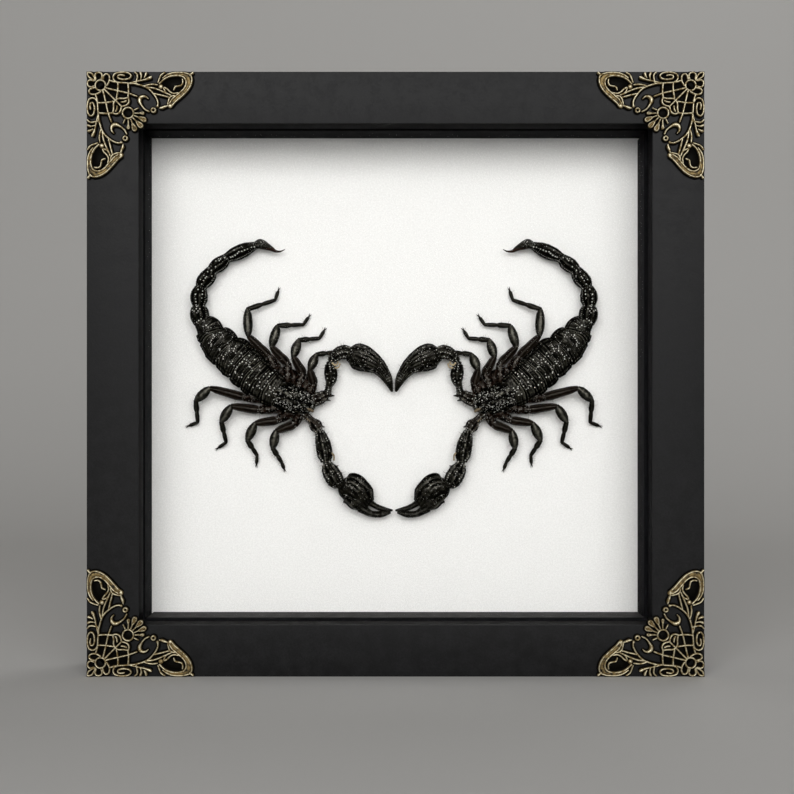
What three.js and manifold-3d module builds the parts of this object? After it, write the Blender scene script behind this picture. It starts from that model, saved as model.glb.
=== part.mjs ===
import * as THREE from 'three';
import { mergeVertices } from 'three/addons/utils/BufferGeometryUtils.js';
import Module from 'manifold-3d';

const wasm = await Module();
wasm.setup();

// A shadow box frame with two dried scorpions mounted on a white backdrop behind glass.
// Millimetres, X to the right, Y away from the viewer, Z up, origin under the middle of the frame.

// Frame: outer size, width of the front face, depth from the front face back
const frameWidth = 247.2;
const frameHeight = 242.4;
const frameDepth = 34;
const faceWidth = 20.8;
const edgeChamfer = 0.4;
const lipDepth = 9.5;
const rabbetWall = 14.8;
const mitreRelief = 0.15;
const contactGap = 0.2;

// What lies in the rabbet, by depth behind the front face
const glassThickness = 1.8;
const linerFront = 11.7;
const backdropFront = 26.2;
const linerInnerEdge = 21.2;
const backdropThickness = 2.8;
const boardThickness = 2.5;

// Retaining tabs and hanger
const tabLength = 11;
const tabWidth = 7;
const tabThickness = 0.6;
const tabOffset = 62;
const hangerLength = 46;
const hangerHeight = 9;
const hangerThickness = 1;
const hangerTeeth = 11;
const toothDepth = 1.6;
const nailSpacing = 38;
const nailHeadRadius = 2.1;
const nailHeadThickness = 0.4;
const nailSides = 8;

// Corner ornaments
const ornamentThickness = 0.9;
const ornamentRelief = 0.6;
const cornerFlower = 5.6;
const innerRosette = 16.5;
const ringHole = 1.7;
const ringOuter = 2.6;

// The pair of specimens: its mirror axis stands a little left of the frame's middle
const pairAxisX = -0.7;
const bodySides = 9;
const tailSides = 6;
const armSides = 6;
const legSides = 5;
const spineSides = 4;
const spineTip = 0.2;
const jawTip = 0.8;

const frontY = -(frameDepth / 2);
const pocketEdge = rabbetWall + contactGap;
const pocketWidth = frameWidth - 2 * pocketEdge;
const pocketHeight = frameHeight - 2 * pocketEdge;
const boardFront = backdropFront + backdropThickness + contactGap;
const tabFront = boardFront + boardThickness + contactGap;

const finishes = {
  paintedWood: { color: 0x161617, roughness: 0.55, metalness: 0 },
  liner: { color: 0x0c0c0d, roughness: 0.7, metalness: 0 },
  glass: { color: 0xf2f6f5, roughness: 0.03, metalness: 0, transparent: true, opacity: 0.12 },
  backdrop: { color: 0xeeedea, roughness: 0.9, metalness: 0 },
  fibreboard: { color: 0x7a5a3c, roughness: 0.85, metalness: 0 },
  zincSteel: { color: 0x9a9b98, roughness: 0.4, metalness: 1 },
  antiqueBrass: { color: 0x8f7a47, roughness: 0.45, metalness: 1 },
  chitin: { color: 0x0e0d0c, roughness: 0.35, metalness: 0 },
};

const specimen = new THREE.Group();

function addPiece(name, geometry, finish, parent = specimen) {
  const mesh = new THREE.Mesh(geometry, new THREE.MeshStandardMaterial(finishes[finish]));
  mesh.name = name;
  parent.add(mesh);
  return mesh;
}

// Closed solids for joining, and the joined solid back as a mesh

function toSolid(geometry) {
  const bare = new THREE.BufferGeometry();
  bare.setAttribute('position', geometry.attributes.position.clone());
  if (geometry.index) bare.setIndex(geometry.index.clone());
  const merged = mergeVertices(bare);
  const corners = merged.index.array;
  const kept = [];
  for (let i = 0; i < corners.length; i += 3) {
    const [a, b, c] = [corners[i], corners[i + 1], corners[i + 2]];
    if (a !== b && b !== c && c !== a) kept.push(a, b, c);
  }
  return new wasm.Manifold(new wasm.Mesh({
    numProp: 3,
    vertProperties: new Float32Array(merged.attributes.position.array),
    triVerts: new Uint32Array(kept),
  }));
}

function fromSolid(solid) {
  const { vertProperties, triVerts } = solid.getMesh();
  const indexed = new THREE.BufferGeometry();
  indexed.setAttribute('position', new THREE.BufferAttribute(new Float32Array(vertProperties), 3));
  indexed.setIndex(Array.from(triVerts));
  const geometry = indexed.toNonIndexed();
  geometry.computeVertexNormals();
  return geometry;
}

function joined(geometries) {
  return fromSolid(geometries.map(toSolid).reduce((whole, next) => whole.add(next)));
}

// Rails and liners: a section of [inward, back] points run along one side, ends mitred at 45 degrees

function mitredBar(section, sideLength) {
  const outline = new THREE.Shape(section.map(([inward, back]) => new THREE.Vector2(inward, back)));
  const geometry = new THREE.ExtrudeGeometry(outline, { depth: 1, bevelEnabled: false });
  const position = geometry.attributes.position;
  for (let i = 0; i < position.count; i += 1) {
    const inward = position.getX(i);
    const end = position.getZ(i) * 2 - 1;
    const reach = sideLength / 2 - inward - mitreRelief;
    position.setXYZ(i, end * reach, frontY + position.getY(i), -inward);
  }
  geometry.computeVertexNormals();
  return geometry;
}

const sides = [
  { name: 'top', length: frameWidth, turn: 0, x: 0, z: frameHeight },
  { name: 'bottom', length: frameWidth, turn: Math.PI, x: 0, z: 0 },
  { name: 'left', length: frameHeight, turn: -Math.PI / 2, x: -frameWidth / 2, z: frameHeight / 2 },
  { name: 'right', length: frameHeight, turn: Math.PI / 2, x: frameWidth / 2, z: frameHeight / 2 },
];

const railSection = [
  [edgeChamfer, 0],
  [faceWidth - edgeChamfer, 0],
  [faceWidth, edgeChamfer],
  [faceWidth, lipDepth],
  [rabbetWall, lipDepth],
  [rabbetWall, frameDepth],
  [edgeChamfer, frameDepth],
  [0, frameDepth - edgeChamfer],
  [0, edgeChamfer],
];

const linerSection = [
  [pocketEdge, linerFront],
  [linerInnerEdge, linerFront],
  [linerInnerEdge, backdropFront - contactGap],
  [pocketEdge, backdropFront - contactGap],
];

for (const side of sides) {
  for (const [kind, section, finish] of [
    ['rail', railSection, 'paintedWood'],
    ['liner', linerSection, 'liner'],
  ]) {
    const bar = addPiece(`${kind}_${side.name}`, mitredBar(section, side.length), finish);
    bar.rotation.y = side.turn;
    bar.position.set(side.x, 0, side.z);
  }
}

// Sheets in the rabbet

function addSheet(name, front, thickness, finish) {
  const sheet = addPiece(name, new THREE.BoxGeometry(pocketWidth, thickness, pocketHeight), finish);
  sheet.position.set(0, frontY + front + thickness / 2, frameHeight / 2);
}

addSheet('glass_pane', lipDepth + contactGap, glassThickness, 'glass');
addSheet('backdrop_panel', backdropFront, backdropThickness, 'backdrop');
addSheet('back_board', boardFront, boardThickness, 'fibreboard');

// Tabs: thin tongues with a rounded end, two on each side, lying over the back board

function tabGeometry() {
  const tongue = new THREE.Shape();
  const shoulder = tabLength - tabWidth / 2;
  tongue.moveTo(-tabWidth / 2, 0);
  tongue.lineTo(tabWidth / 2, 0);
  tongue.lineTo(tabWidth / 2, shoulder);
  tongue.absarc(0, shoulder, tabWidth / 2, 0, Math.PI, false);
  tongue.closePath();
  const flat = { depth: tabThickness, bevelEnabled: false, curveSegments: 4 };
  const geometry = new THREE.ExtrudeGeometry(tongue, flat);
  geometry.rotateX(-Math.PI / 2);
  return geometry;
}

let tabNumber = 0;
for (const side of sides) {
  for (const shift of [-tabOffset, tabOffset]) {
    tabNumber += 1;
    const group = new THREE.Group();
    group.rotation.y = side.turn;
    group.position.set(side.x, 0, side.z);
    specimen.add(group);
    const tab = addPiece(`tab_${tabNumber}`, tabGeometry(), 'zincSteel', group);
    tab.position.set(shift, frontY + tabFront, -pocketEdge);
  }
}

// Sawtooth hanger with its two nails, on the back of the top rail

function hangerGeometry() {
  const plate = new THREE.Shape();
  const half = hangerLength / 2;
  const toothed = hangerLength * 0.6;
  const pitch = toothed / hangerTeeth;
  plate.moveTo(-half, hangerHeight);
  plate.lineTo(-half, toothDepth);
  plate.lineTo(-toothed / 2, toothDepth);
  for (let tooth = 0; tooth < hangerTeeth; tooth += 1) {
    const start = -toothed / 2 + tooth * pitch;
    plate.lineTo(start + pitch / 2, 0);
    plate.lineTo(start + pitch, toothDepth);
  }
  plate.lineTo(half, toothDepth);
  plate.lineTo(half, hangerHeight);
  plate.closePath();
  const geometry = new THREE.ExtrudeGeometry(plate, { depth: hangerThickness, bevelEnabled: false });
  geometry.rotateX(Math.PI / 2);
  return geometry;
}

const hangerBottom = frameHeight - (rabbetWall + hangerHeight) / 2;
const hangerBack = frontY + frameDepth + contactGap + hangerThickness;
const hanger = addPiece('sawtooth_hanger', hangerGeometry(), 'zincSteel');
hanger.position.set(0, hangerBack, hangerBottom);

for (const [name, direction] of [['left', -1], ['right', 1]]) {
  const head = [
    new THREE.Vector2(0, 0),
    new THREE.Vector2(nailHeadRadius, 0),
    new THREE.Vector2(nailHeadRadius * 0.6, nailHeadThickness),
    new THREE.Vector2(0, nailHeadThickness),
  ];
  const nail = addPiece(`hanger_nail_${name}`, new THREE.LatheGeometry(head, nailSides), 'antiqueBrass');
  const nailHeight = hangerBottom + hangerHeight / 2;
  nail.position.set(direction * nailSpacing / 2, hangerBack + contactGap / 2, nailHeight);
}

// Corner ornaments: a pierced plate, the same on both sides of its diagonal, with two raised rosettes.
// Points are [along the edge, in from the edge] from the frame's corner, for one half of the plate.

const ornamentHalfOutline = [
  [0.3, 0.3], [3.0, 0.4], [3.9, 1.5], [5.0, 0.4], [6.2, 1.4], [8.0, 0.4], [9.8, 1.8],
  [11.6, 0.5], [15.6, 0.4], [18.0, 1.6], [18.8, 3.4], [19.6, 0.5], [22.6, 0.6], [22.8, 2.8],
  [25.0, 1.6], [25.6, 3.4], [28.2, 4.4], [30.8, 0.5], [34.6, 0.6], [39.6, 1.0], [42.2, 0.4],
  [41.4, 3.0], [40.8, 6.4], [37.8, 10.6], [32.8, 14.6], [29.6, 14.6], [26.4, 16.8], [23.6, 15.6],
  [24.6, 19.6], [22.2, 22.2],
];

const ornamentHalfHoles = [
  [[11.4, 2.4], [12.6, 1.4], [15.6, 1.4], [16.6, 2.4], [15.4, 3.4], [12.6, 3.4]],
  [[12.6, 4.8], [16.2, 5.2], [15.8, 7.8], [12.4, 7.2]],
  [[8.9, 3.6], [11.6, 4.2], [11.6, 6.9], [8.9, 6.4]],
  [[17.6, 5.9], [22.0, 6.7], [24.0, 8.4], [21.0, 9.6], [17.8, 8.8]],
  [[22.8, 11.0], [24.8, 9.8], [26.8, 11.2], [26.6, 13.4], [24.6, 14.4], [22.8, 13.0]],
  [[30.0, 3.8], [33.4, 2.4], [38.4, 3.2], [38.2, 6.2], [35.6, 8.8], [32.8, 8.2], [31.4, 5.8]],
];

function overDiagonal(points) {
  return points.map(([along, inward]) => [inward, along]).reverse();
}

function platePoints(points) {
  return points.map(([along, inward]) => new THREE.Vector2(along, -inward));
}

function ringPoints(centre, radius, count) {
  return Array.from({ length: count }, (_, i) => {
    const angle = (i / count) * 2 * Math.PI;
    return [centre + radius * Math.cos(angle), centre + radius * Math.sin(angle)];
  });
}

// A flat shape with holes: its outline runs the other way round than the holes
function plateShape(outline, holes) {
  const shape = new THREE.Shape(platePoints(outline).reverse());
  shape.holes = holes.map((points) => new THREE.Path(platePoints(points)));
  return shape;
}

function ornamentGeometry() {
  const mirroredHalf = overDiagonal(ornamentHalfOutline.slice(1, -1));
  const holes = [
    ...ornamentHalfHoles,
    ...ornamentHalfHoles.map(overDiagonal),
    ringPoints(cornerFlower, ringHole, 6),
    ringPoints(innerRosette, ringHole, 6),
  ];
  const plate = plateShape([...ornamentHalfOutline, ...mirroredHalf], holes);
  const flat = { depth: ornamentThickness, bevelEnabled: false };
  const pieces = [new THREE.ExtrudeGeometry(plate, flat)];
  for (const centre of [cornerFlower, innerRosette]) {
    const rosette = plateShape(ringPoints(centre, ringOuter, 8), [ringPoints(centre, ringHole, 6)]);
    const depth = ornamentThickness + ornamentRelief;
    pieces.push(new THREE.ExtrudeGeometry(rosette, { depth, bevelEnabled: false }));
  }
  const geometry = joined(pieces);
  geometry.rotateX(Math.PI / 2);
  return geometry;
}

const corners = [
  { name: 'top_left', turn: 0, x: -1, z: 1 },
  { name: 'top_right', turn: Math.PI / 2, x: 1, z: 1 },
  { name: 'bottom_right', turn: Math.PI, x: 1, z: -1 },
  { name: 'bottom_left', turn: -Math.PI / 2, x: -1, z: -1 },
];

const ornamentShape = ornamentGeometry();
for (const corner of corners) {
  const ornament = addPiece(`ornament_${corner.name}`, ornamentShape.clone(), 'antiqueBrass');
  ornament.rotation.y = corner.turn;
  ornament.position.set(
    corner.x * frameWidth / 2,
    frontY - contactGap,
    frameHeight / 2 + corner.z * frameHeight / 2,
  );
}

// Left specimen. Stations are [x, z, rise, half width, half thickness]: x from the pair's axis and
// z from the frame's middle, rise is the height of the station's centre over the backdrop.

const towardViewer = new THREE.Vector3(0, -1, 0);

function stationCentre([x, z, rise]) {
  return new THREE.Vector3(x, frontY + backdropFront - rise, z);
}

// A closed skin over elliptical stations, with a short point at each end
function skinOver(stations, around) {
  const centres = stations.map(stationCentre);
  const last = centres.length - 1;
  const vertices = [];
  const triangles = [];
  const ends = [];
  centres.forEach((centre, i) => {
    const along = centres[Math.min(i + 1, last)].clone().sub(centres[Math.max(i - 1, 0)]).normalize();
    const across = towardViewer.clone().cross(along).normalize();
    const over = along.clone().cross(across);
    const [, , , halfWidth, halfThickness] = stations[i];
    for (let k = 0; k < around; k += 1) {
      const angle = ((k + 0.5) / around) * 2 * Math.PI;
      const rim = centre.clone();
      rim.addScaledVector(across, halfWidth * Math.cos(angle));
      rim.addScaledVector(over, halfThickness * Math.sin(angle));
      vertices.push(rim);
    }
    const point = halfThickness * 0.4;
    if (i === 0) ends.push(centre.clone().addScaledVector(along, -point));
    if (i === last) ends.push(centre.clone().addScaledVector(along, point));
  });
  const rootPoint = vertices.length;
  vertices.push(...ends);
  for (let k = 0; k < around; k += 1) {
    const next = (k + 1) % around;
    for (let i = 0; i < last; i += 1) {
      const near = i * around;
      const far = near + around;
      triangles.push(near + k, near + next, far + next);
      triangles.push(near + k, far + next, far + k);
    }
    triangles.push(rootPoint, next, k);
    triangles.push(rootPoint + 1, last * around + k, last * around + next);
  }
  const geometry = new THREE.BufferGeometry().setFromPoints(vertices);
  geometry.setIndex(triangles);
  return geometry;
}

// A spike from one [x, z, rise] point to another
function spike(from, to, halfWidth, tipShare) {
  const tip = halfWidth * tipShare;
  return skinOver([[...from, halfWidth, halfWidth], [...to, tip, tip]], spineSides);
}

// Body: seven back plates that swell between their joints, then the front shield
const backPlates = [
  [-80.5, 22.8, 3.5, 3.4, 2.8], [-77.4, 19.7, 3.7, 5.7, 3.2], [-76.1, 16.6, 3.7, 6.2, 3.2],
  [-73.0, 13.5, 3.9, 7.9, 3.6], [-69.8, 9.9, 3.9, 7.7, 3.4], [-66.4, 7.7, 4.0, 8.9, 3.7],
  [-63.3, 5.0, 4.0, 8.4, 3.5], [-61.1, 2.9, 4.0, 8.9, 3.7], [-58.9, 0.7, 4.0, 8.3, 3.5],
  [-57.0, -0.9, 4.0, 8.5, 3.7], [-55.3, -2.4, 4.0, 8.1, 3.5], [-53.7, -3.6, 4.0, 8.1, 3.7],
  [-52.1, -4.8, 4.0, 7.7, 3.5], [-49.0, -6.7, 4.0, 7.2, 3.5],
];
const frontShield = [
  [-48.4, -7.2, 4.2, 5.8, 3.2], [-43.5, -9.4, 4.4, 6.2, 3.6], [-38.9, -10.7, 4.2, 5.8, 3.4],
  [-35.1, -11.6, 3.8, 4.4, 2.8], [-33.4, -12.1, 3.6, 2.4, 1.8],
];

// Underside, where the hips of the legs meet
const chest = [
  [-51.5, -3.6, 2.4, 8.0, 1.6], [-43.5, -6.2, 2.4, 9.0, 1.8], [-37.0, -8.6, 2.4, 7.4, 1.6],
];

// Tail: five segments that swell between tight joints, then the bulb with its sting
const tail = [
  [-80.6, 21.8, 3.4, 3.2, 2.8], [-81.0, 24.8, 3.7, 4.1, 3.3], [-81.3, 27.4, 3.7, 3.8, 3.2],
  [-81.5, 28.9, 3.5, 2.5, 2.3], [-81.4, 31.2, 3.6, 3.5, 3.1], [-81.2, 34.4, 3.6, 3.6, 3.1],
  [-80.7, 36.9, 3.4, 2.3, 2.2], [-79.4, 39.2, 3.5, 3.3, 3.0], [-77.4, 41.6, 3.5, 3.3, 3.0],
  [-76.1, 44.0, 3.3, 2.3, 2.2], [-74.0, 45.8, 3.4, 3.1, 2.8], [-71.8, 47.4, 3.4, 3.0, 2.8],
  [-70.1, 49.1, 3.2, 2.0, 2.0], [-67.2, 50.5, 3.2, 2.9, 2.6], [-62.6, 52.5, 3.2, 3.1, 2.7],
  [-58.1, 54.4, 3.0, 1.6, 1.7], [-56.0, 55.0, 3.1, 2.1, 2.0], [-53.6, 54.2, 3.1, 1.7, 1.8],
  [-51.4, 53.2, 3.0, 1.1, 1.2], [-49.4, 52.1, 2.8, 0.6, 0.7], [-47.3, 52.1, 2.7, 0.35, 0.4],
  [-45.6, 52.9, 2.7, 0.15, 0.15],
];

// Legs: joints [x, z, rise] at the hip, thigh, knee, shin, ankle and claw
const legs = [
  [
    [-49.4, 3.2, 3.4], [-51.9, 7.8, 3.6], [-60.6, 16.6, 5.4],
    [-61.1, 27.7, 4.2], [-49.8, 31.8, 1.6], [-48.4, 36.2, 0.8],
  ],
  [
    [-44.4, -1.8, 3.4], [-44.4, 4.9, 3.6], [-51.0, 12.0, 5.2],
    [-48.5, 20.9, 4.0], [-38.0, 21.5, 1.6], [-35.6, 25.1, 0.8],
  ],
  [
    [-40.2, -4.4, 3.4], [-37.9, 0.7, 3.6], [-41.9, 7.8, 5.0],
    [-39.8, 14.9, 3.8], [-31.2, 15.8, 1.6], [-29.1, 19.4, 0.8],
  ],
  [
    [-36.0, -7.7, 3.4], [-33.5, -3.5, 3.4], [-35.1, 2.5, 4.6],
    [-32.4, 8.9, 3.4], [-24.8, 10.0, 1.4], [-22.4, 12.0, 0.8],
  ],
  [
    [-55.2, -9.0, 3.2], [-62.6, -8.9, 3.4], [-76.7, -5.1, 5.2],
    [-82.6, -10.4, 4.2], [-82.2, -19.4, 1.6], [-86.4, -21.0, 0.8],
  ],
  [
    [-47.7, -13.0, 3.2], [-56.1, -14.2, 3.4], [-67.8, -12.6, 5.2],
    [-72.0, -19.2, 4.0], [-70.3, -27.8, 1.6], [-74.0, -30.3, 0.8],
  ],
  [
    [-42.7, -14.8, 3.2], [-48.5, -18.4, 3.2], [-57.8, -19.8, 5.0],
    [-61.2, -26.9, 3.8], [-57.3, -33.3, 1.6], [-57.7, -37.2, 0.9],
  ],
  [
    [-39.3, -14.8, 3.2], [-41.4, -20.1, 3.0], [-49.2, -23.0, 4.4],
    [-50.6, -30.2, 3.4], [-47.1, -36.1, 1.6], [-46.0, -39.2, 0.9],
  ],
];

// Girth along a leg: [joint, share of the way to the next joint, half width]
const legGirth = [
  [0, 0, 3.4], [1, 0, 2.5], [1, 0.5, 2.05], [1, 0.93, 1.25], [2, 0.1, 1.2], [2, 0.5, 2.0],
  [2, 0.93, 1.25], [3, 0.15, 1.05], [4, 0, 0.85], [5, 0, 0.3],
];

function leg(joints) {
  const stations = legGirth.map(([joint, share, halfWidth]) => {
    const from = joints[joint];
    const to = joints[Math.min(joint + 1, joints.length - 1)];
    const place = from.map((value, axis) => value + (to[axis] - value) * share);
    const halfThickness = Math.min(halfWidth * 0.85, place[2] - contactGap);
    return [...place, halfWidth, halfThickness];
  });
  return skinOver(stations, legSides);
}

// Pincer arms: short base, upper arm, forearm, then the hand that narrows into its fingers
const upperArm = {
  base: [[-35.2, -11.0, 3.4, 2.6, 2.4], [-30.5, -9.0, 3.4, 2.9, 2.6], [-27.2, -7.4, 3.4, 2.4, 2.2]],
  upper: [
    [-26.9, -7.6, 3.4, 1.9, 2.0], [-26.5, -1.2, 3.5, 2.6, 2.5],
    [-26.8, 2.3, 3.5, 2.4, 2.3], [-26.6, 5.6, 3.4, 1.7, 1.8],
  ],
  fore: [
    [-26.6, 5.4, 3.4, 1.7, 1.8], [-24.4, 8.2, 3.5, 2.3, 2.3],
    [-21.6, 9.8, 3.5, 3.0, 2.7], [-18.2, 9.8, 3.4, 2.9, 2.4],
  ],
  hand: [
    [-18.6, 9.0, 3.5, 3.2, 2.4], [-16.4, 8.5, 3.7, 5.2, 3.2],
    [-13.3, 7.4, 3.8, 5.6, 3.4], [-9.9, 5.9, 3.7, 4.8, 3.0],
    [-6.6, 3.8, 3.5, 3.5, 2.4], [-4.2, 1.0, 3.2, 2.6, 1.8],
    [-2.2, -2.6, 3.0, 1.7, 1.2], [-0.9, -6.4, 2.9, 0.5, 0.5],
  ],
};
const lowerArm = {
  base: [[-37.6, -16.0, 3.2, 2.4, 2.2], [-33.6, -19.8, 3.4, 2.8, 2.5], [-31.2, -22.2, 3.4, 2.3, 2.1]],
  upper: [
    [-31.4, -22.0, 3.4, 2.0, 2.0], [-30.1, -26.9, 3.6, 2.9, 2.6],
    [-28.8, -31.4, 3.6, 3.3, 2.7], [-28.2, -36.2, 3.4, 2.3, 2.1],
  ],
  fore: [
    [-28.3, -36.0, 3.4, 2.4, 2.1], [-26.4, -39.9, 3.6, 3.5, 2.8],
    [-24.5, -42.8, 3.6, 3.7, 2.9], [-22.6, -46.2, 3.4, 2.2, 2.0],
  ],
  hand: [
    [-22.6, -45.2, 3.4, 2.2, 2.0], [-20.8, -46.0, 3.6, 4.6, 3.0], [-18.3, -46.7, 3.8, 6.6, 3.4],
    [-15.5, -48.9, 3.9, 6.5, 3.5], [-13.2, -51.7, 3.8, 6.0, 3.2], [-11.0, -54.2, 3.6, 4.4, 2.6],
  ],
  fixedFinger: [
    [-11.6, -51.6, 3.5, 2.0, 2.0], [-8.0, -54.2, 3.4, 1.4, 1.6],
    [-4.4, -55.8, 3.2, 0.9, 1.1], [-0.8, -56.2, 3.0, 0.4, 0.5],
  ],
  movingFinger: [
    [-13.6, -54.8, 3.5, 2.3, 2.0], [-9.4, -57.3, 3.4, 1.7, 1.6],
    [-5.4, -57.8, 3.2, 1.3, 1.3], [-1.8, -56.9, 3.0, 0.7, 0.8],
  ],
};

// Stout spines on the inner side of the arms, and the two jaws: [from, to, half width]
const spines = [
  [[-28.0, -8.2, 3.4], [-24.8, -8.3, 3.2], 1.1],
  [[-29.2, -9.6, 3.4], [-26.4, -10.4, 3.2], 0.9],
  [[-24.2, 9.6, 3.6], [-22.8, 12.5, 3.4], 1.2],
  [[-31.6, -20.6, 3.4], [-28.9, -21.4, 3.2], 1.0],
  [[-26.0, -38.4, 3.6], [-23.2, -37.5, 3.3], 1.2],
  [[-24.6, -41.0, 3.6], [-21.8, -40.4, 3.3], 1.1],
];
const jaws = [
  [[-37.2, -12.6, 3.4], [-33.0, -14.9, 3.0], 1.3],
  [[-36.4, -10.6, 3.4], [-32.2, -12.0, 3.0], 1.3],
];

function scorpionGeometry() {
  const arms = [...Object.values(upperArm), ...Object.values(lowerArm)];
  return joined([
    skinOver(backPlates, bodySides),
    skinOver(frontShield, bodySides),
    skinOver(chest, armSides),
    skinOver(tail, tailSides),
    ...legs.map(leg),
    ...arms.map((stations) => skinOver(stations, armSides)),
    ...spines.map(([from, to, halfWidth]) => spike(from, to, halfWidth, spineTip)),
    ...jaws.map(([from, to, halfWidth]) => spike(from, to, halfWidth, jawTip)),
  ]);
}

// The other specimen of the pair: x changes sign, and each triangle turns round to face out again
function mirrored(geometry) {
  const other = geometry.clone();
  const position = other.attributes.position;
  for (let i = 0; i < position.count; i += 3) {
    const corner = [0, 2, 1].map((step) => [
      -geometry.attributes.position.getX(i + step),
      geometry.attributes.position.getY(i + step),
      geometry.attributes.position.getZ(i + step),
    ]);
    corner.forEach((point, step) => position.setXYZ(i + step, ...point));
  }
  other.computeVertexNormals();
  return other;
}

const pair = new THREE.Group();
pair.position.set(pairAxisX, 0, frameHeight / 2);
specimen.add(pair);
const leftScorpion = scorpionGeometry();
addPiece('scorpion_left', leftScorpion, 'chitin', pair);
addPiece('scorpion_right', mirrored(leftScorpion), 'chitin', pair);

export default specimen;
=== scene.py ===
import math

import bmesh
import bpy
import numpy as np
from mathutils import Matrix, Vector


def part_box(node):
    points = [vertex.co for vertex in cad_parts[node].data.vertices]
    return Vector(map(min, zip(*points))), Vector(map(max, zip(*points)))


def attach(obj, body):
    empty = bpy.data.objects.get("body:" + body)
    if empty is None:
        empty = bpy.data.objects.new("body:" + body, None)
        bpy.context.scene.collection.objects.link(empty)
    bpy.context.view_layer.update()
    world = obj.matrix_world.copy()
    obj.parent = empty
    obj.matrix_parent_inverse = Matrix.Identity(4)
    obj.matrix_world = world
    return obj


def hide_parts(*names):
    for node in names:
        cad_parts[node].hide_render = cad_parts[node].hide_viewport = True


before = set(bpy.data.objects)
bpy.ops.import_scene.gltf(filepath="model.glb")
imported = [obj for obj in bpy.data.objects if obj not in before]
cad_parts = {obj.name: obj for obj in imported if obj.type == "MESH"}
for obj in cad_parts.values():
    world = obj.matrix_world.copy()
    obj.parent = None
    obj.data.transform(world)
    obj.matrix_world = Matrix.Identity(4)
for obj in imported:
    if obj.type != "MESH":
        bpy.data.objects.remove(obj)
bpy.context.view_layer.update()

# A shadow box frame with brass corners and a mirrored pair of dried scorpions.
# Shapes are worked out in mm and turned into metres when a piece is made.
mm = 0.001
frameLow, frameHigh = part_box("rail_left")
frameWidth = (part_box("rail_right")[1].x - frameLow.x) / mm
frameHeight = (frameHigh.z - frameLow.z) / mm
frontFace = frameLow.y / mm
backFace = frameHigh.y / mm
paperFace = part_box("backdrop_panel")[0].y / mm
middleZ = frameHeight / 2
pairAxis = (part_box("scorpion_left")[0].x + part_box("scorpion_right")[1].x) / 2 / mm
dice = np.random.default_rng(11)

# Camera: straight on, a little below the middle, as the photo was taken
cameraValues = {"x": 1.0, "y": -528.0, "z": 104.7, "lens": 57.9, "shiftX": -0.0013, "shiftY": 0.0227}


def addCamera():
    data = bpy.data.cameras.new("photoCamera")
    data.lens = cameraValues["lens"]
    data.sensor_width = 36
    data.shift_x = cameraValues["shiftX"]
    data.shift_y = cameraValues["shiftY"]
    camera = bpy.data.objects.new("photoCamera", data)
    camera.location = Vector((cameraValues["x"], cameraValues["y"], cameraValues["z"])) * mm
    camera.rotation_euler = (math.radians(90), 0, 0)
    bpy.context.scene.collection.objects.link(camera)
    bpy.context.scene.camera = camera


# Node groups shared by several materials


def newGroup(name, inputs, outputs):
    group = bpy.data.node_groups.new(name, "ShaderNodeTree")
    for label, kind, value in inputs:
        socket = group.interface.new_socket(label, in_out="INPUT", socket_type=kind)
        socket.default_value = value
    for label, kind in outputs:
        group.interface.new_socket(label, in_out="OUTPUT", socket_type=kind)
    return group, group.nodes.new("NodeGroupInput"), group.nodes.new("NodeGroupOutput")


def mixColours(tree, factor, first, second):
    mix = tree.nodes.new("ShaderNodeMix")
    mix.data_type = "RGBA"
    feed(tree, factor, mix.inputs["Factor"])
    feed(tree, first, mix.inputs[6])
    feed(tree, second, mix.inputs[7])
    return mix.outputs[2]


def feed(tree, source, socket):
    if isinstance(source, bpy.types.NodeSocket):
        tree.links.new(source, socket)
    elif isinstance(source, (tuple, list)):
        socket.default_value = (*source, 1.0)
    else:
        socket.default_value = source


def remap(tree, source, low, high, to=(0.0, 1.0)):
    node = tree.nodes.new("ShaderNodeMapRange")
    node.interpolation_type = "SMOOTHSTEP"
    tree.links.new(source, node.inputs["Value"])
    for label, value in zip(("From Min", "From Max", "To Min", "To Max"), (low, high, *to)):
        node.inputs[label].default_value = value
    return node.outputs["Result"]


def noise(tree, where, scale, detail=4.0, roughness=0.55, stretch=None):
    node = tree.nodes.new("ShaderNodeTexNoise")
    feed(tree, scale, node.inputs["Scale"])
    node.inputs["Detail"].default_value = detail
    node.inputs["Roughness"].default_value = roughness
    if stretch:
        mapping = tree.nodes.new("ShaderNodeMapping")
        mapping.inputs["Scale"].default_value = stretch
        tree.links.new(where, mapping.inputs["Vector"])
        where = mapping.outputs["Vector"]
    tree.links.new(where, node.inputs["Vector"])
    return node.outputs["Fac"]


def combine(tree, operation, first, second):
    node = tree.nodes.new("ShaderNodeMath")
    node.operation = operation
    tree.links.new(first, node.inputs[0])
    tree.links.new(second, node.inputs[1])
    return node.outputs[0]


def storedValue(tree, name):
    # A value per point that newPiece has written into the mesh
    node = tree.nodes.new("ShaderNodeAttribute")
    node.attribute_name = name
    return node.outputs["Fac"]


def grainGroup():
    # Two scales of mottling: a value for colour and roughness, and one for the bump height
    group, start, end = newGroup(
        "surfaceGrain",
        [("Coarse Scale", "NodeSocketFloat", 60.0), ("Fine Scale", "NodeSocketFloat", 900.0)],
        [("Mottling", "NodeSocketFloat"), ("Height", "NodeSocketFloat")],
    )
    place = group.nodes.new("ShaderNodeTexCoord").outputs["Object"]
    coarse = noise(group, place, start.outputs["Coarse Scale"])
    fine = noise(group, place, start.outputs["Fine Scale"], 3.0, 0.6)
    blend = combine(group, "MULTIPLY", coarse, fine)
    group.links.new(remap(group, blend, 0.12, 0.42), end.inputs["Mottling"])
    group.links.new(fine, end.inputs["Height"])
    return group


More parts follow.
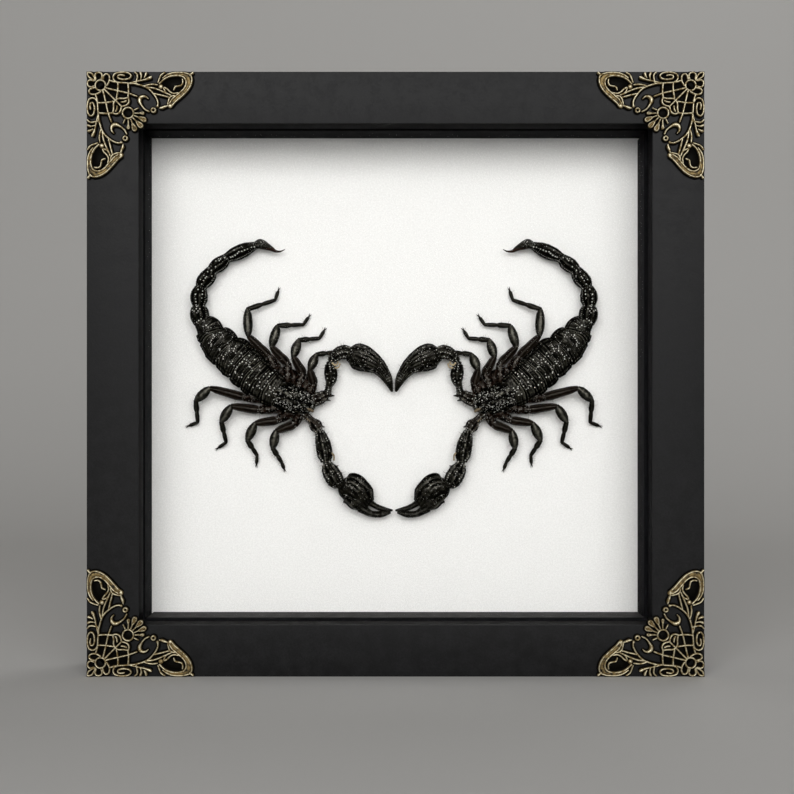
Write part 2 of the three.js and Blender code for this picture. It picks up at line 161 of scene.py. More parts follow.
def patinaGroup():
    # Worn metal: bright on the ridges, dark in the recesses, from the height stored in the mesh
    group, start, end = newGroup(
        "wornRelief",
        [("Ridge Start", "NodeSocketFloat", 0.4), ("Ridge End", "NodeSocketFloat", 0.9)],
        [("Wear", "NodeSocketFloat")],
    )
    place = group.nodes.new("ShaderNodeTexCoord").outputs["Object"]
    breakUp = remap(group, noise(group, place, 700.0, 4.0, 0.6), 0.3, 0.7, (-0.16, 0.16))
    ramp = group.nodes.new("ShaderNodeMapRange")
    ramp.interpolation_type = "SMOOTHSTEP"
    group.links.new(combine(group, "ADD", storedValue(group, "height"), breakUp), ramp.inputs["Value"])
    group.links.new(start.outputs["Ridge Start"], ramp.inputs["From Min"])
    group.links.new(start.outputs["Ridge End"], ramp.inputs["From Max"])
    group.links.new(ramp.outputs["Result"], end.inputs["Wear"])
    return group


def dustAndPaintedLightGroup():
    # Dust settles on what faces up, more in some places than in others; this pale layer also paints light
    # onto the faces turned up towards the lamps
    group, start, end = newGroup(
        "dustAndPaintedLight", [("Amount", "NodeSocketFloat", 0.5)], [("DustAndLight", "NodeSocketFloat")],
    )
    normal = group.nodes.new("ShaderNodeNewGeometry").outputs["Normal"]
    split = group.nodes.new("ShaderNodeSeparateXYZ")
    group.links.new(normal, split.inputs["Vector"])
    place = group.nodes.new("ShaderNodeTexCoord").outputs["Object"]
    patches = remap(group, noise(group, place, 260.0, 5.0, 0.6), 0.25, 0.7, (0.55, 1.0))
    settled = combine(group, "MULTIPLY", remap(group, split.outputs["Z"], 0.2, 0.95), patches)
    group.links.new(combine(group, "MULTIPLY", settled, start.outputs["Amount"]), end.inputs["DustAndLight"])
    return group


def newMaterial(name):
    material = bpy.data.materials.new(name)
    material.use_nodes = True
    tree = material.node_tree
    return material, tree, tree.nodes["Principled BSDF"]


def placeGroup(tree, group, **values):
    node = tree.nodes.new("ShaderNodeGroup")
    node.node_tree = group
    for label, value in values.items():
        node.inputs[label].default_value = value
    return node.outputs


def addBump(tree, shader, height, strength, distance):
    bump = tree.nodes.new("ShaderNodeBump")
    bump.inputs["Strength"].default_value = strength
    bump.inputs["Distance"].default_value = distance
    tree.links.new(height, bump.inputs["Height"])
    tree.links.new(bump.outputs["Normal"], shader.inputs["Normal"])


# A linked sheen also gets a plain value on its socket, for programs that can't follow the link
surfaceGrain = grainGroup()
wornRelief = patinaGroup()
dustAndPaintedLight = dustAndPaintedLightGroup()
# Pale dust colour; on up-facing faces it also stands in as painted light from above
dustAndLightColour = (0.10, 0.097, 0.092)

paintValues = {
    "dark": (0.008, 0.008, 0.0085), "light": (0.014, 0.014, 0.015), "bump": 0.3, "sheen": 0.22,
    "innerSheen": 0.004, "dustAndLight": 0.3,
}


def paintMaterial():
    material, tree, shader = newMaterial("satinBlackPaint")
    grain = placeGroup(tree, surfaceGrain, **{"Coarse Scale": 170.0, "Fine Scale": 1500.0})
    colour = mixColours(tree, grain["Mottling"], paintValues["dark"], paintValues["light"])
    # Dust on faces that look up, which also paints on the light from above
    dustAndLight = placeGroup(tree, dustAndPaintedLight, Amount=paintValues["dustAndLight"])["DustAndLight"]
    tree.links.new(mixColours(tree, dustAndLight, colour, dustAndLightColour), shader.inputs["Base Color"])
    tree.links.new(remap(tree, grain["Mottling"], 0, 1, (0.38, 0.5)), shader.inputs["Roughness"])
    # The lip's inner face has less gloss than the rest
    sheen = remap(tree, storedValue(tree, "inner"), 0, 1, (paintValues["sheen"], paintValues["innerSheen"]))
    shader.inputs["Specular IOR Level"].default_value = paintValues["sheen"]
    tree.links.new(sheen, shader.inputs["Specular IOR Level"])
    addBump(tree, shader, grain["Height"], paintValues["bump"], 0.00012)
    return material


linerValues = {"dark": (0.0035, 0.0035, 0.004), "light": (0.008, 0.008, 0.009), "sheen": 0.03, "dustAndLight": 0.45}


def linerMaterial():
    material, tree, shader = newMaterial("mattBlackLiner")
    grain = placeGroup(tree, surfaceGrain, **{"Coarse Scale": 240.0, "Fine Scale": 2200.0})
    colour = mixColours(tree, grain["Mottling"], linerValues["dark"], linerValues["light"])
    # Dust on faces that look up, which also paints on the light from above
    dustAndLight = placeGroup(tree, dustAndPaintedLight, Amount=linerValues["dustAndLight"])["DustAndLight"]
    tree.links.new(mixColours(tree, dustAndLight, colour, dustAndLightColour), shader.inputs["Base Color"])
    tree.links.new(remap(tree, grain["Mottling"], 0, 1, (0.6, 0.8)), shader.inputs["Roughness"])
    shader.inputs["Specular IOR Level"].default_value = linerValues["sheen"]
    addBump(tree, shader, grain["Height"], 0.3, 0.0001)
    return material


paperValues = {"low": (0.80, 0.795, 0.77), "high": (0.90, 0.895, 0.87), "bump": 0.6}


def paperMaterial():
    material, tree, shader = newMaterial("texturedPaper")
    grain = placeGroup(tree, surfaceGrain, **{"Coarse Scale": 1300.0, "Fine Scale": 2600.0})
    colour = mixColours(tree, grain["Mottling"], paperValues["low"], paperValues["high"])
    tree.links.new(colour, shader.inputs["Base Color"])
    shader.inputs["Roughness"].default_value = 0.92
    shader.inputs["Specular IOR Level"].default_value = 0.2
    addBump(tree, shader, grain["Height"], paperValues["bump"], 0.00025)
    return material


glassValues = {"ior": 1.45, "tint": 0.01}


def glassMaterial():
    # Clear picture glass with a low sheen; light passes straight through it on its way in
    material, tree, shader = newMaterial("clearPictureGlass")
    shader.inputs["Base Color"].default_value = (1, 1, 1, 1)
    shader.inputs["Roughness"].default_value = 0.0
    shader.inputs["IOR"].default_value = glassValues["ior"]
    shader.inputs["Transmission Weight"].default_value = 1.0
    shader.inputs["Specular Tint"].default_value = (*[glassValues["tint"]] * 3, 1)
    clear = tree.nodes.new("ShaderNodeBsdfTransparent")
    path = tree.nodes.new("ShaderNodeLightPath")
    mix = tree.nodes.new("ShaderNodeMixShader")
    tree.links.new(path.outputs["Is Shadow Ray"], mix.inputs["Fac"])
    tree.links.new(shader.outputs["BSDF"], mix.inputs[1])
    tree.links.new(clear.outputs["BSDF"], mix.inputs[2])
    tree.links.new(mix.outputs["Shader"], tree.nodes["Material Output"].inputs["Surface"])
    return material


boardValues = {"dark": (0.105, 0.056, 0.026), "light": (0.23, 0.135, 0.07)}


def boardMaterial():
    material, tree, shader = newMaterial("brownHardboard")
    grain = placeGroup(tree, surfaceGrain, **{"Coarse Scale": 35.0, "Fine Scale": 1100.0})
    place = tree.nodes.new("ShaderNodeTexCoord").outputs["Object"]
    fibres = noise(tree, place, 260.0, 6.0, 0.7, (1.0, 1.0, 0.35))
    speckle = mixColours(tree, remap(tree, fibres, 0.35, 0.68), boardValues["dark"], boardValues["light"])
    shade = mixColours(tree, grain["Mottling"], speckle, boardValues["light"])
    tree.links.new(shade, shader.inputs["Base Color"])
    shader.inputs["Roughness"].default_value = 0.78
    addBump(tree, shader, fibres, 0.4, 0.00025)
    return material


zincValues = {"dark": (0.36, 0.37, 0.37), "light": (0.62, 0.62, 0.60)}


def zincMaterial():
    material, tree, shader = newMaterial("zincPlate")
    grain = placeGroup(tree, surfaceGrain, **{"Coarse Scale": 300.0, "Fine Scale": 1800.0})
    colour = mixColours(tree, grain["Mottling"], zincValues["dark"], zincValues["light"])
    tree.links.new(colour, shader.inputs["Base Color"])
    tree.links.new(remap(tree, grain["Mottling"], 0, 1, (0.28, 0.46)), shader.inputs["Roughness"])
    shader.inputs["Metallic"].default_value = 1.0
    addBump(tree, shader, grain["Height"], 0.2, 0.00008)
    return material


brassValues = {
    "patina": (0.006, 0.0055, 0.0045), "brass": (0.36, 0.26, 0.11), "worn": (0.92, 0.83, 0.58),
    "plainSheen": 0.3,
}


def brassMaterial():
    material, tree, shader = newMaterial("antiqueBrass")
    low = placeGroup(tree, wornRelief, **{"Ridge Start": 0.4, "Ridge End": 0.75})["Wear"]
    top = placeGroup(tree, wornRelief, **{"Ridge Start": 0.83, "Ridge End": 1.02})["Wear"]
    colour = mixColours(tree, low, brassValues["patina"], brassValues["brass"])
    colour = mixColours(tree, top, colour, brassValues["worn"])
    tree.links.new(colour, shader.inputs["Base Color"])
    tree.links.new(remap(tree, low, 0, 1, (0.2, 0.75)), shader.inputs["Metallic"])
    tree.links.new(remap(tree, top, 0, 1, (0.55, 0.34)), shader.inputs["Roughness"])
    sheen = remap(tree, storedValue(tree, "height"), 0.4, 0.75, (0.06, 0.5))
    shader.inputs["Specular IOR Level"].default_value = brassValues["plainSheen"]
    tree.links.new(sheen, shader.inputs["Specular IOR Level"])
    grain = placeGroup(tree, surfaceGrain, **{"Coarse Scale": 500.0, "Fine Scale": 3000.0})
    addBump(tree, shader, grain["Height"], 0.25, 0.00006)
    return material


# The groove colour is painted shade in the grooves; the ridge colour and the pale grain-top colour are
# painted highlights
chitinValues = {
    "groove": (0.0005, 0.0005, 0.0004),
    "black": (0.0016, 0.0015, 0.0010),
    "olive": (0.0085, 0.0078, 0.0048),
    "red": (0.014, 0.005, 0.003),
    "amber": (0.40, 0.32, 0.20),
    "ridge": (0.085, 0.081, 0.062),
    "paintedGlint": (0.86, 0.85, 0.79),
    "plainSheen": 0.15,
}


def chitinMaterial(name, roughness):
    # Dried cuticle: warm where the mesh stores a high "warm"; painted shade makes it black in its grooves,
    # and painted highlights make it paler on raised relief and on grain tops
    material, tree, shader = newMaterial(name)
    grain = placeGroup(tree, surfaceGrain, **{"Coarse Scale": 420.0, "Fine Scale": 2600.0})
    warm, paintedGlint, relief = (storedValue(tree, label) for label in ("warm", "paintedGlint", "relief"))
    colour = mixColours(tree, grain["Mottling"], chitinValues["black"], chitinValues["olive"])
    colour = mixColours(tree, remap(tree, warm, 0, 0.5), colour, chitinValues["red"])
    colour = mixColours(tree, remap(tree, warm, 0.5, 1), colour, chitinValues["amber"])
    # Painted shade: where the relief sinks, the colour goes black, as the grooves' shade
    colour = mixColours(tree, remap(tree, relief, -0.2, 0.0, (1, 0)), colour, chitinValues["groove"])
    # Painted highlight: raised relief turns a paler grey-olive
    colour = mixColours(tree, remap(tree, relief, 0.08, 0.34), colour, chitinValues["ridge"])
    # Painted highlight: the pale colour on the grains' tops
    colour = mixColours(tree, paintedGlint, colour, chitinValues["paintedGlint"])
    tree.links.new(colour, shader.inputs["Base Color"])
    low, high = roughness
    tree.links.new(remap(tree, grain["Mottling"], 0, 1, (low, high)), shader.inputs["Roughness"])
    sheen = remap(tree, relief, -0.1, 0.26, (0.01, 0.6))
    shader.inputs["Specular IOR Level"].default_value = chitinValues["plainSheen"]
    tree.links.new(sheen, shader.inputs["Specular IOR Level"])
    shader.inputs["Specular Tint"].default_value = (1.0, 0.96, 0.84, 1)
    addBump(tree, shader, grain["Height"], 0.25, 0.00008)
    return material


hairColours = {"dark": (0.03, 0.018, 0.010), "light": (0.16, 0.10, 0.05)}


def hairMaterial():
    material, tree, shader = newMaterial("fineHair")
    grain = placeGroup(tree, surfaceGrain, **{"Coarse Scale": 300.0, "Fine Scale": 2000.0})
    colour = mixColours(tree, grain["Mottling"], hairColours["dark"], hairColours["light"])
    tree.links.new(colour, shader.inputs["Base Color"])
    shader.inputs["Roughness"].default_value = 0.5
    return material


# Meshes

def newPiece(name, parts, material, values=()):
    # Joins parts of {"points", "quads", "triangles", one value per point} into one riding piece
    points = np.concatenate([part["points"] for part in parts])
    faces = []
    start = 0
    for part in parts:
        for kind in ("quads", "triangles"):
            if kind in part:
                faces.extend((np.asarray(part[kind], int) + start).tolist())
        start += len(part["points"])
    mesh = bpy.data.meshes.new(name)
    mesh.from_pydata((points * mm).tolist(), [], faces)
    for value in values:
        attribute = mesh.attributes.new(value, "FLOAT", "POINT")
        stored = [np.broadcast_to(part.get(value, 0.0), len(part["points"])) for part in parts]
        attribute.data.foreach_set("value", np.concatenate(stored).astype(np.float32))
    mesh.polygons.foreach_set("use_smooth", [True] * len(mesh.polygons))
    mesh.materials.append(material)
    piece = bpy.data.objects.new(name, mesh)
    bpy.context.scene.collection.objects.link(piece)
    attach(piece, "root")
    return piece


def refine(stations, step):
    # A smooth run through given stations, a point every step mm
    rows = np.array(stations, float)
    gaps = np.linalg.norm(np.diff(rows[:, :3], axis=0), axis=1)
    length = np.concatenate([[0], np.cumsum(gaps)])
    if len(rows) > 2:
        slopes = np.gradient(rows, length, axis=0)
    else:
        slopes = np.diff(rows, axis=0)[[0, 0]] / length[-1]
    at = np.linspace(0, length[-1], max(3, round(length[-1] / step) + 1))
    k = np.clip(np.searchsorted(length, at, side="right") - 1, 0, len(length) - 2)
    gap = gaps[k][:, None]
    t = (at - length[k])[:, None] / gap
    run = (
        (2 * t**3 - 3 * t**2 + 1) * rows[k]
        + (t**3 - 2 * t**2 + t) * slopes[k] * gap
        + (3 * t**2 - 2 * t**3) * rows[k + 1]
        + (t**3 - t**2) * slopes[k + 1] * gap
    )
    return at, run, length


def ringQuads(rows, size, start=0, turned=False):
    # Faces between neighbouring closed rings of size points each
    first = start + np.arange(rows - 1)[:, None] * size
    k = np.arange(size)[None, :]
    following = (k + 1) % size
    corners = [first + k, first + following, first + size + following, first + size + k]
    if turned:
        corners[1], corners[3] = corners[3], corners[1]
    return np.stack(corners, axis=-1).reshape(-1, 4)


def unit(vectors):
    return vectors / np.maximum(np.linalg.norm(vectors, axis=-1, keepdims=True), 1e-9)


def skinOver(stations, step, around, relief=None, cap=0.6):
    # A closed skin over elliptical stations [x, z, rise, half width, half thickness].
    # relief(s, angle, points) gives how far each point stands out; angle pi / 2 faces the viewer.
    at, run, length = refine(stations, step)
    centres = np.stack([run[:, 0], -run[:, 2], run[:, 1]], axis=1)
    along = unit(np.gradient(centres, axis=0))
    across = unit(np.cross([0.0, -1.0, 0.0], along))
    over = np.cross(along, across)
    girth = np.maximum(run[:, 3:5], 0.03)
    rounding = np.array([0.97, 0.8, 0.45])
    scale = np.sqrt(1 - rounding**2)[:, None]

    def capRows(end, sign, order):
        reach = girth[end, 1] * cap
        shift = rounding[order][:, None] * reach * sign
        return (
            at[end] + shift[:, 0],
            centres[end] + along[end] * shift,
            girth[end] * scale[order],
        )

    inward, outward = slice(None), slice(None, None, -1)
    firstAt, firstCentres, firstGirth = capRows(0, -1, inward)
    lastAt, lastCentres, lastGirth = capRows(-1, 1, outward)
    s = np.concatenate([firstAt, at, lastAt])
    centres = np.concatenate([firstCentres, centres, lastCentres])
    girth = np.concatenate([firstGirth, girth, lastGirth])
    pad = lambda rows: np.concatenate([rows[:1]] * 3 + [rows] + [rows[-1:]] * 3)
    along, across, over = pad(along), pad(across), pad(over)
    angle = (np.arange(around) + 0.5) / around * 2 * np.pi
    cosine, sine = np.cos(angle)[None, :, None], np.sin(angle)[None, :, None]
    wide, thick = girth[:, 0][:, None, None], girth[:, 1][:, None, None]
    rim = across[:, None] * wide * cosine + over[:, None] * thick * sine
    points = centres[:, None] + rim
    outwardWay = unit(across[:, None] * cosine * thick + over[:, None] * sine * wide)
    lift = np.zeros((len(s), around))
    if relief:
        lift = lift + relief(s[:, None], angle[None, :], points)
        lift *= np.minimum(1, girth.min(axis=1) / 0.8)[:, None]
        points = points + outwardWay * lift[..., None]
    rows = len(s)
    poles = [centres[0] - along[0] * 0.03 * cap, centres[-1] + along[-1] * 0.03 * cap]
    last = (rows - 1) * around
    count = rows * around
    k = np.arange(around)
    ends = [np.stack([np.full(around, count), (k + 1) % around, k], axis=1)]
    ends.append(np.stack([np.full(around, count + 1), last + k, last + (k + 1) % around], axis=1))
    du = np.gradient(points, axis=0)
    dv = np.roll(points, -1, axis=1) - np.roll(points, 1, axis=1)
    normals = unit(np.cross(dv, du))
    return {
        "points": np.concatenate([points.reshape(-1, 3), poles]),
        "quads": ringQuads(rows, around),
        "triangles": np.concatenate(ends),
        "relief": np.append(lift.ravel(), [0, 0]),
        "grid": points,
        "normals": normals,
        "s": s,
        "length": length,
    }


def onSkin(surface, s, angle):
    # Places and normals on a skin at these distances along it and angles round it
    grid, normals = surface["grid"], surface["normals"]
    rows, around = grid.shape[:2]
    row = np.interp(s, surface["s"], np.arange(rows))
    column = (np.asarray(angle) / (2 * np.pi) * around - 0.5) % around
    r, c = np.minimum(row.astype(int), rows - 2), column.astype(int)
    fr, fc = (row - r)[:, None], (column - c)[:, None]
    nextC = (c + 1) % around
    pick = lambda field: (
        (field[r, c] * (1 - fc) + field[r, nextC] * fc) * (1 - fr)
        + (field[r + 1, c] * (1 - fc) + field[r + 1, nextC] * fc) * fr
    )
    return pick(grid), unit(pick(normals))


grainSize = 1.15


def granulesOn(surface, s, angle, radius, paintedGlint=1.0, sides=6, stretch=1.0, least=0.3):
    # Small grains that grow out of a skin, with painted highlights on their tops; stretch makes them long
    places, normals = onSkin(surface, np.asarray(s, float), np.asarray(angle, float))
    radius = np.broadcast_to(radius, len(places)) * grainSize
    side = unit(np.cross(normals, [0.31, 0.57, 0.76]))
    other = np.cross(normals, side)
    if stretch > 1:
        spin = dice.normal(0, 0.7, len(places))[:, None]
        side, other = side * np.cos(spin) + other * np.sin(spin), other * np.cos(spin) - side * np.sin(spin)
        side = side * (1 + (stretch - 1) * dice.random(len(places)))[:, None]
    turn = np.arange(sides) / sides * 2 * np.pi
    rings = []
    for up, out in ((-0.25, 1.0), (0.55, 0.8)):
        ring = (
            side[:, None] * (np.cos(turn) * out)[None, :, None]
            + other[:, None] * (np.sin(turn) * out)[None, :, None]
            + normals[:, None] * up
        )
        rings.append(ring)
    top = normals[:, None] * 0.95
    shape = np.concatenate([*rings, top], axis=1) * radius[:, None, None]
    points = places[:, None] + shape
    size = 2 * sides + 1
    k = np.arange(sides)
    following = (k + 1) % sides
    quad = np.stack([k, following, sides + following, sides + k], axis=1)
    tip = np.stack([sides + k, sides + following, np.full(sides, 2 * sides)], axis=1)
    base = (np.arange(len(places)) * size)[:, None, None]
    # Painted highlight: the upper ring and the tip of each grain take most of the pale colour
    shade = np.concatenate([np.zeros(sides), np.full(sides, 0.75), [1.0]])
    strength = paintedGlint * dice.uniform(least, 1.0, len(places))
    return {
        "points": points.reshape(-1, 3),
        "quads": (quad[None] + base).reshape(-1, 4),
        "triangles": (tip[None] + base).reshape(-1, 3),
        "paintedGlint": (shade[None] * strength[:, None]).ravel(),
        "relief": 0.1,
    }


def lumps(points, size, seed):
    # Smooth random values from -1 to 1, about size mm across
    lattice = np.random.default_rng(seed).random((24, 24, 24))
    scaled = points / size + 60
    cell = np.floor(scaled).astype(int)
    f = scaled - cell
    f = f * f * (3 - 2 * f)
    total = 0
    for dx in (0, 1):
        for dy in (0, 1):
            for dz in (0, 1):
                weight = (
                    (f[..., 0] if dx else 1 - f[..., 0])
                    * (f[..., 1] if dy else 1 - f[..., 1])
                    * (f[..., 2] if dz else 1 - f[..., 2])
                )
                index = (cell + [dx, dy, dz]) % 24
                total = total + weight * lattice[index[..., 0], index[..., 1], index[..., 2]]
    return total * 2 - 1


def bump(distance, width):
    return np.exp(-((distance / width) ** 2))


# Frame: rails and liners with rounded edges, mitred at the corners

railValues = {"faceWidth": 20.8, "lipDepth": 9.5, "rabbetWall": 14.8, "edgeRound": 0.32, "seam": 0.03}
linerSizes = {"front": 11.7, "back": 26.0, "outer": 15.0, "edgeRound": 0.35}
# Each side with its length, turn, place and the liner's inner face
sides = [
    ("top", frameWidth, 0.0, (0, frameHeight), 21.2),
    ("bottom", frameWidth, math.pi, (0, 0), 22.0),
    ("left", frameHeight, -math.pi / 2, (-frameWidth / 2, middleZ), 21.2),
    ("right", frameHeight, math.pi / 2, (frameWidth / 2, middleZ), 22.0),
]


def roundedSection(corners):
    # Corners are [inward, back, radius]; each gets a small arc of three steps
    points = []
    count = len(corners)
    for i, (x, y, radius) in enumerate(corners):
        here = np.array([x, y])
        before = np.array(corners[i - 1][:2]) - here
        after = np.array(corners[(i + 1) % count][:2]) - here
        if radius == 0:
            points.append(here)
            continue
        a, b = here + unit(before) * radius, here + unit(after) * radius
        for t in (0, 0.25, 0.5, 0.75, 1):
            points.append((1 - t) ** 2 * a + 2 * t * (1 - t) * here + t**2 * b)
    return np.array(points)


def mitredBar(section, sideLength, turn, place, seam):
    # The section's points are [inward, back]; steps along the bar are fine enough for the shading
    steps = np.linspace(-1, 1, 41)
    reach = sideLength / 2 - section[:, 0] - seam
    x = steps[:, None] * reach[None, :]
    y = np.broadcast_to(frontFace + section[:, 1], x.shape)
    z = np.broadcast_to(-section[:, 0], x.shape)
    cosine, sine = math.cos(turn), math.sin(turn)
    points = np.stack([x * cosine + z * sine + place[0], y, z * cosine - x * sine + place[1]], axis=-1)
    size = len(section)
    return {"points": points.reshape(-1, 3), "quads": ringQuads(len(steps), size, turned=True), "size": size}


def addBars():
    edge = railValues["edgeRound"]
    face, lip, wall = railValues["faceWidth"], railValues["lipDepth"], railValues["rabbetWall"]
    depth = backFace - frontFace
    rail = roundedSection([
        (0, 0, edge), (face, 0, edge), (face, lip, 0.3), (wall, lip, 0), (wall, depth, 0.4), (0, depth, edge),
    ])
    size = linerSizes
    for side, length, turn, place, linerFace in sides:
        liner = roundedSection([
            (size["outer"], size["front"], 0.2), (linerFace, size["front"], size["edgeRound"]),
            (linerFace, size["back"], 0), (size["outer"], size["back"], 0),
        ])
        for kind, section, material, slotName in (
            ("rail", rail, satinPaint, "black_paint"),
            ("liner", liner, mattLiner, "liner_black"),
        ):
            bar = mitredBar(section, length, turn, place, railValues["seam"])
            isInner = (section[:, 0] > face - 0.05) & (section[:, 1] > edge - 0.01)
            bar["inner"] = np.tile(isInner.astype(float), len(bar["points"]) // len(section))
            piece = newPiece(f"{kind}_{side}_painted", [bar], material, ["inner"])
            closeEnds(piece, bar["size"])
            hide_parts(f"{kind}_{side}")


def closeEnds(piece, size):
    # The two mitred ends of a bar get flat faces
    shape = bmesh.new()
    shape.from_mesh(piece.data)
    shape.verts.ensure_lookup_table()
    count = len(shape.verts)
    for ring in (range(size), range(count - 1, count - size - 1, -1)):
        shape.faces.new([shape.verts[i] for i in ring]).smooth = True
    shape.to_mesh(piece.data)
    shape.free()
    piece.data.set_sharp_from_angle(angle=math.radians(50))


# Corner ornaments: half-round strands of brass, the same on both sides of the diagonal.
# Strand stations are [along the edge, in from the edge, half width] in mm from the frame's corner.

ornamentValues = {"base": 0.15, "reach": 1.55, "step": 0.35, "patinaShadowSkirt": 0.5, "scale": 1.012, "inward": 0.12}
strandHalf = 0.39
cornerStrands = [
    [[6.0, 2.9], [6.3, 1.7], [5.9, 0.9], [5.0, 0.5], [4.0, 0.75], [3.5, 1.5], [3.8, 2.9]],
    [[8.2, 5.6], [9.0, 4.1], [9.2, 2.6], [8.7, 1.4], [7.8, 1.1], [6.9, 1.9], [6.6, 3.2]],
    [[14.9, 1.7], [13.6, 1.5], [12.5, 1.9], [12.5, 2.6], [13.5, 3.1], [15.6, 3.2], [17.2, 2.7], [17.7, 1.8],
     [16.9, 0.9], [14.9, 0.45], [12.6, 0.6], [11.1, 1.2], [10.6, 2.4], [11.0, 3.6], [12.2, 4.4]],
    [[9.4, 3.7], [10.9, 4.2], [12.9, 4.5], [14.9, 4.6], [16.9, 4.8], [18.9, 4.9], [20.9, 5.4], [22.9, 6.0],
     [24.9, 7.2], [26.5, 8.9], [27.7, 10.7], [28.3, 12.4], [28.2, 13.7]],
    [[12.5, 4.6], [12.5, 6.9], [12.0, 10.6]],
    [[16.5, 4.8], [16.7, 7.9], [16.5, 10.5]],
    [[7.6, 6.6], [12.2, 7.7], [16.9, 8.8], [19.9, 9.9]],
    [[11.6, 11.4], [12.5, 10.9], [14.9, 10.8], [16.5, 10.5]],
    [[16.5, 10.5], [16.9, 11.7], [16.5, 12.9], [15.4, 13.6], [14.0, 13.9]],
    [[14.0, 12.2], [15.0, 12.1], [15.8, 11.7]],
    [[19.3, 0.55], [20.0, 1.2], [20.2, 2.2], [20.0, 3.3], [19.7, 4.6]],
    [[22.7, 6.0], [24.5, 5.4], [26.2, 5.2], [27.9, 5.4]],
    [[24.0, 6.4], [26.5, 6.7], [28.9, 7.5], [31.5, 8.7]],
    [[27.0, 8.9], [29.9, 9.6], [32.5, 10.3]],
    [[28.4, 4.4], [28.9, 2.9], [29.6, 1.5], [30.9, 0.6]],
    [[29.0, 4.9], [30.5, 3.4], [32.5, 2.3], [34.9, 1.8], [37.0, 1.9], [38.7, 2.6], [39.4, 3.9], [39.3, 5.5],
     [38.3, 7.2], [36.9, 8.5], [35.5, 9.7], [34.0, 11.0], [33.0, 12.6]],
    [[30.4, 2.6], [31.9, 1.5], [33.9, 0.75], [36.5, 0.55], [39.2, 0.8], [41.1, 1.6], [41.7, 3.2], [41.4, 5.0],
     [40.3, 7.2], [38.5, 9.2], [36.5, 11.0], [34.8, 12.5], [33.7, 13.9]],
    [[38.0, 3.4], [38.1, 4.5], [37.6, 5.5], [36.4, 5.9], [35.1, 6.2], [34.6, 7.3]],
    [[31.0, 6.5], [31.9, 7.0], [32.9, 8.0], [34.4, 8.8], [36.2, 8.6]],
    [[30.7, 6.9], [31.2, 8.2], [32.2, 9.0], [33.2, 9.4]],
    [[34.7, 9.7], [33.5, 10.0], [32.8, 10.8], [32.4, 12.0], [32.2, 13.0]],
]
cornerShapes = [
    [[25.2, 2.5, 0.75], [23.9, 3.1, 0.5], [22.2, 3.6, 0.34], [20.5, 3.9, 0.34], [18.9, 4.3, 0.34],
     [17.0, 4.8, 0.4]],
    [[21.4, 0.8, 0.6], [21.7, 1.5, 0.45], [21.7, 2.5, 0.32], [21.5, 3.3, 0.3]],
    [[23.6, 1.0, 0.62], [23.4, 1.7, 0.5], [23.0, 2.5, 0.32]],
    [[24.5, 10.9, 0.2], [23.6, 10.1, 0.4], [22.4, 9.9, 0.6], [21.3, 10.5, 0.8], [21.0, 11.7, 0.8],
     [21.5, 12.9, 0.55],
     [22.2, 14.0, 0.4], [23.2, 15.1, 0.36], [24.7, 15.9, 0.36]],
    [[29.0, 14.6, 0.3], [30.0, 14.4, 0.65], [31.0, 14.0, 0.55], [32.2, 13.7, 0.3]],
    [[41.0, 1.6, 0.45], [41.6, 1.0, 0.5], [42.0, 0.6, 0.4]],
]
leafBand = [
    [30.6, 2.9, 0.4], [33.2, 1.4, 0.5], [36.8, 1.2, 0.7], [39.6, 1.9, 1.0], [40.5, 4.0, 1.1],
    [39.9, 6.3, 1.0],
    [38.0, 8.4, 1.0], [35.8, 10.4, 0.9], [34.0, 12.3, 0.75], [33.3, 13.8, 0.5],
]
cornerRings = [(5.6, 5.6, 2.05), (16.5, 16.5, 2.15)]
# Dark patina sheet that fills the flower, the lattice, the scroll and the leaf behind their strands, partly
# as painted shade
cornerPatinaShadeSheets = [
    [[0.8, 0.8], [3.5, 0.9], [6.2, 0.9], [8.9, 1.4], [9.0, 3.6], [8.2, 5.6], [8.2, 8.2], [5.6, 8.2],
     [3.6, 9.0],
     [1.4, 8.9], [0.9, 6.2], [0.9, 3.5]],
    [[7.5, 4.0], [12.5, 4.6], [16.7, 4.8], [16.7, 11.7], [15.4, 13.6], [13.9, 13.9], [13.6, 15.4],
     [11.7, 16.7],
     [4.8, 16.7], [4.6, 12.5], [4.0, 7.5]],
]
halfPatinaShadeSheets = [
    [[10.8, 2.4], [11.6, 1.2], [14.0, 0.6], [16.6, 0.9], [17.6, 1.9], [16.6, 3.2], [13.6, 4.2], [11.6, 3.9]],
    [[29.4, 4.7], [31.4, 2.8], [34.9, 1.9], [37.0, 1.9], [38.7, 2.6], [39.3, 4.6], [37.6, 7.8], [35.5, 9.6],
     [33.2, 9.4], [31.0, 7.4]],
]
sideRings = [(26.5, 15.4, 0.8)]
cornerKnobs = [(29.4, 6.1, 1.0), (33.1, 13.7, 1.0), (28.1, 13.8, 0.6), (42.0, 0.75, 0.55)]
rosetteRays = [(45, 0.3), (23, 0.3), (2, 0.3), (-25, 0.3)]
rosetteDrops = [(45, 4.9, 7.6, 0.8), (22.5, 4.8, 7.4, 0.74), (1, 4.8, 6.2, 0.36)]


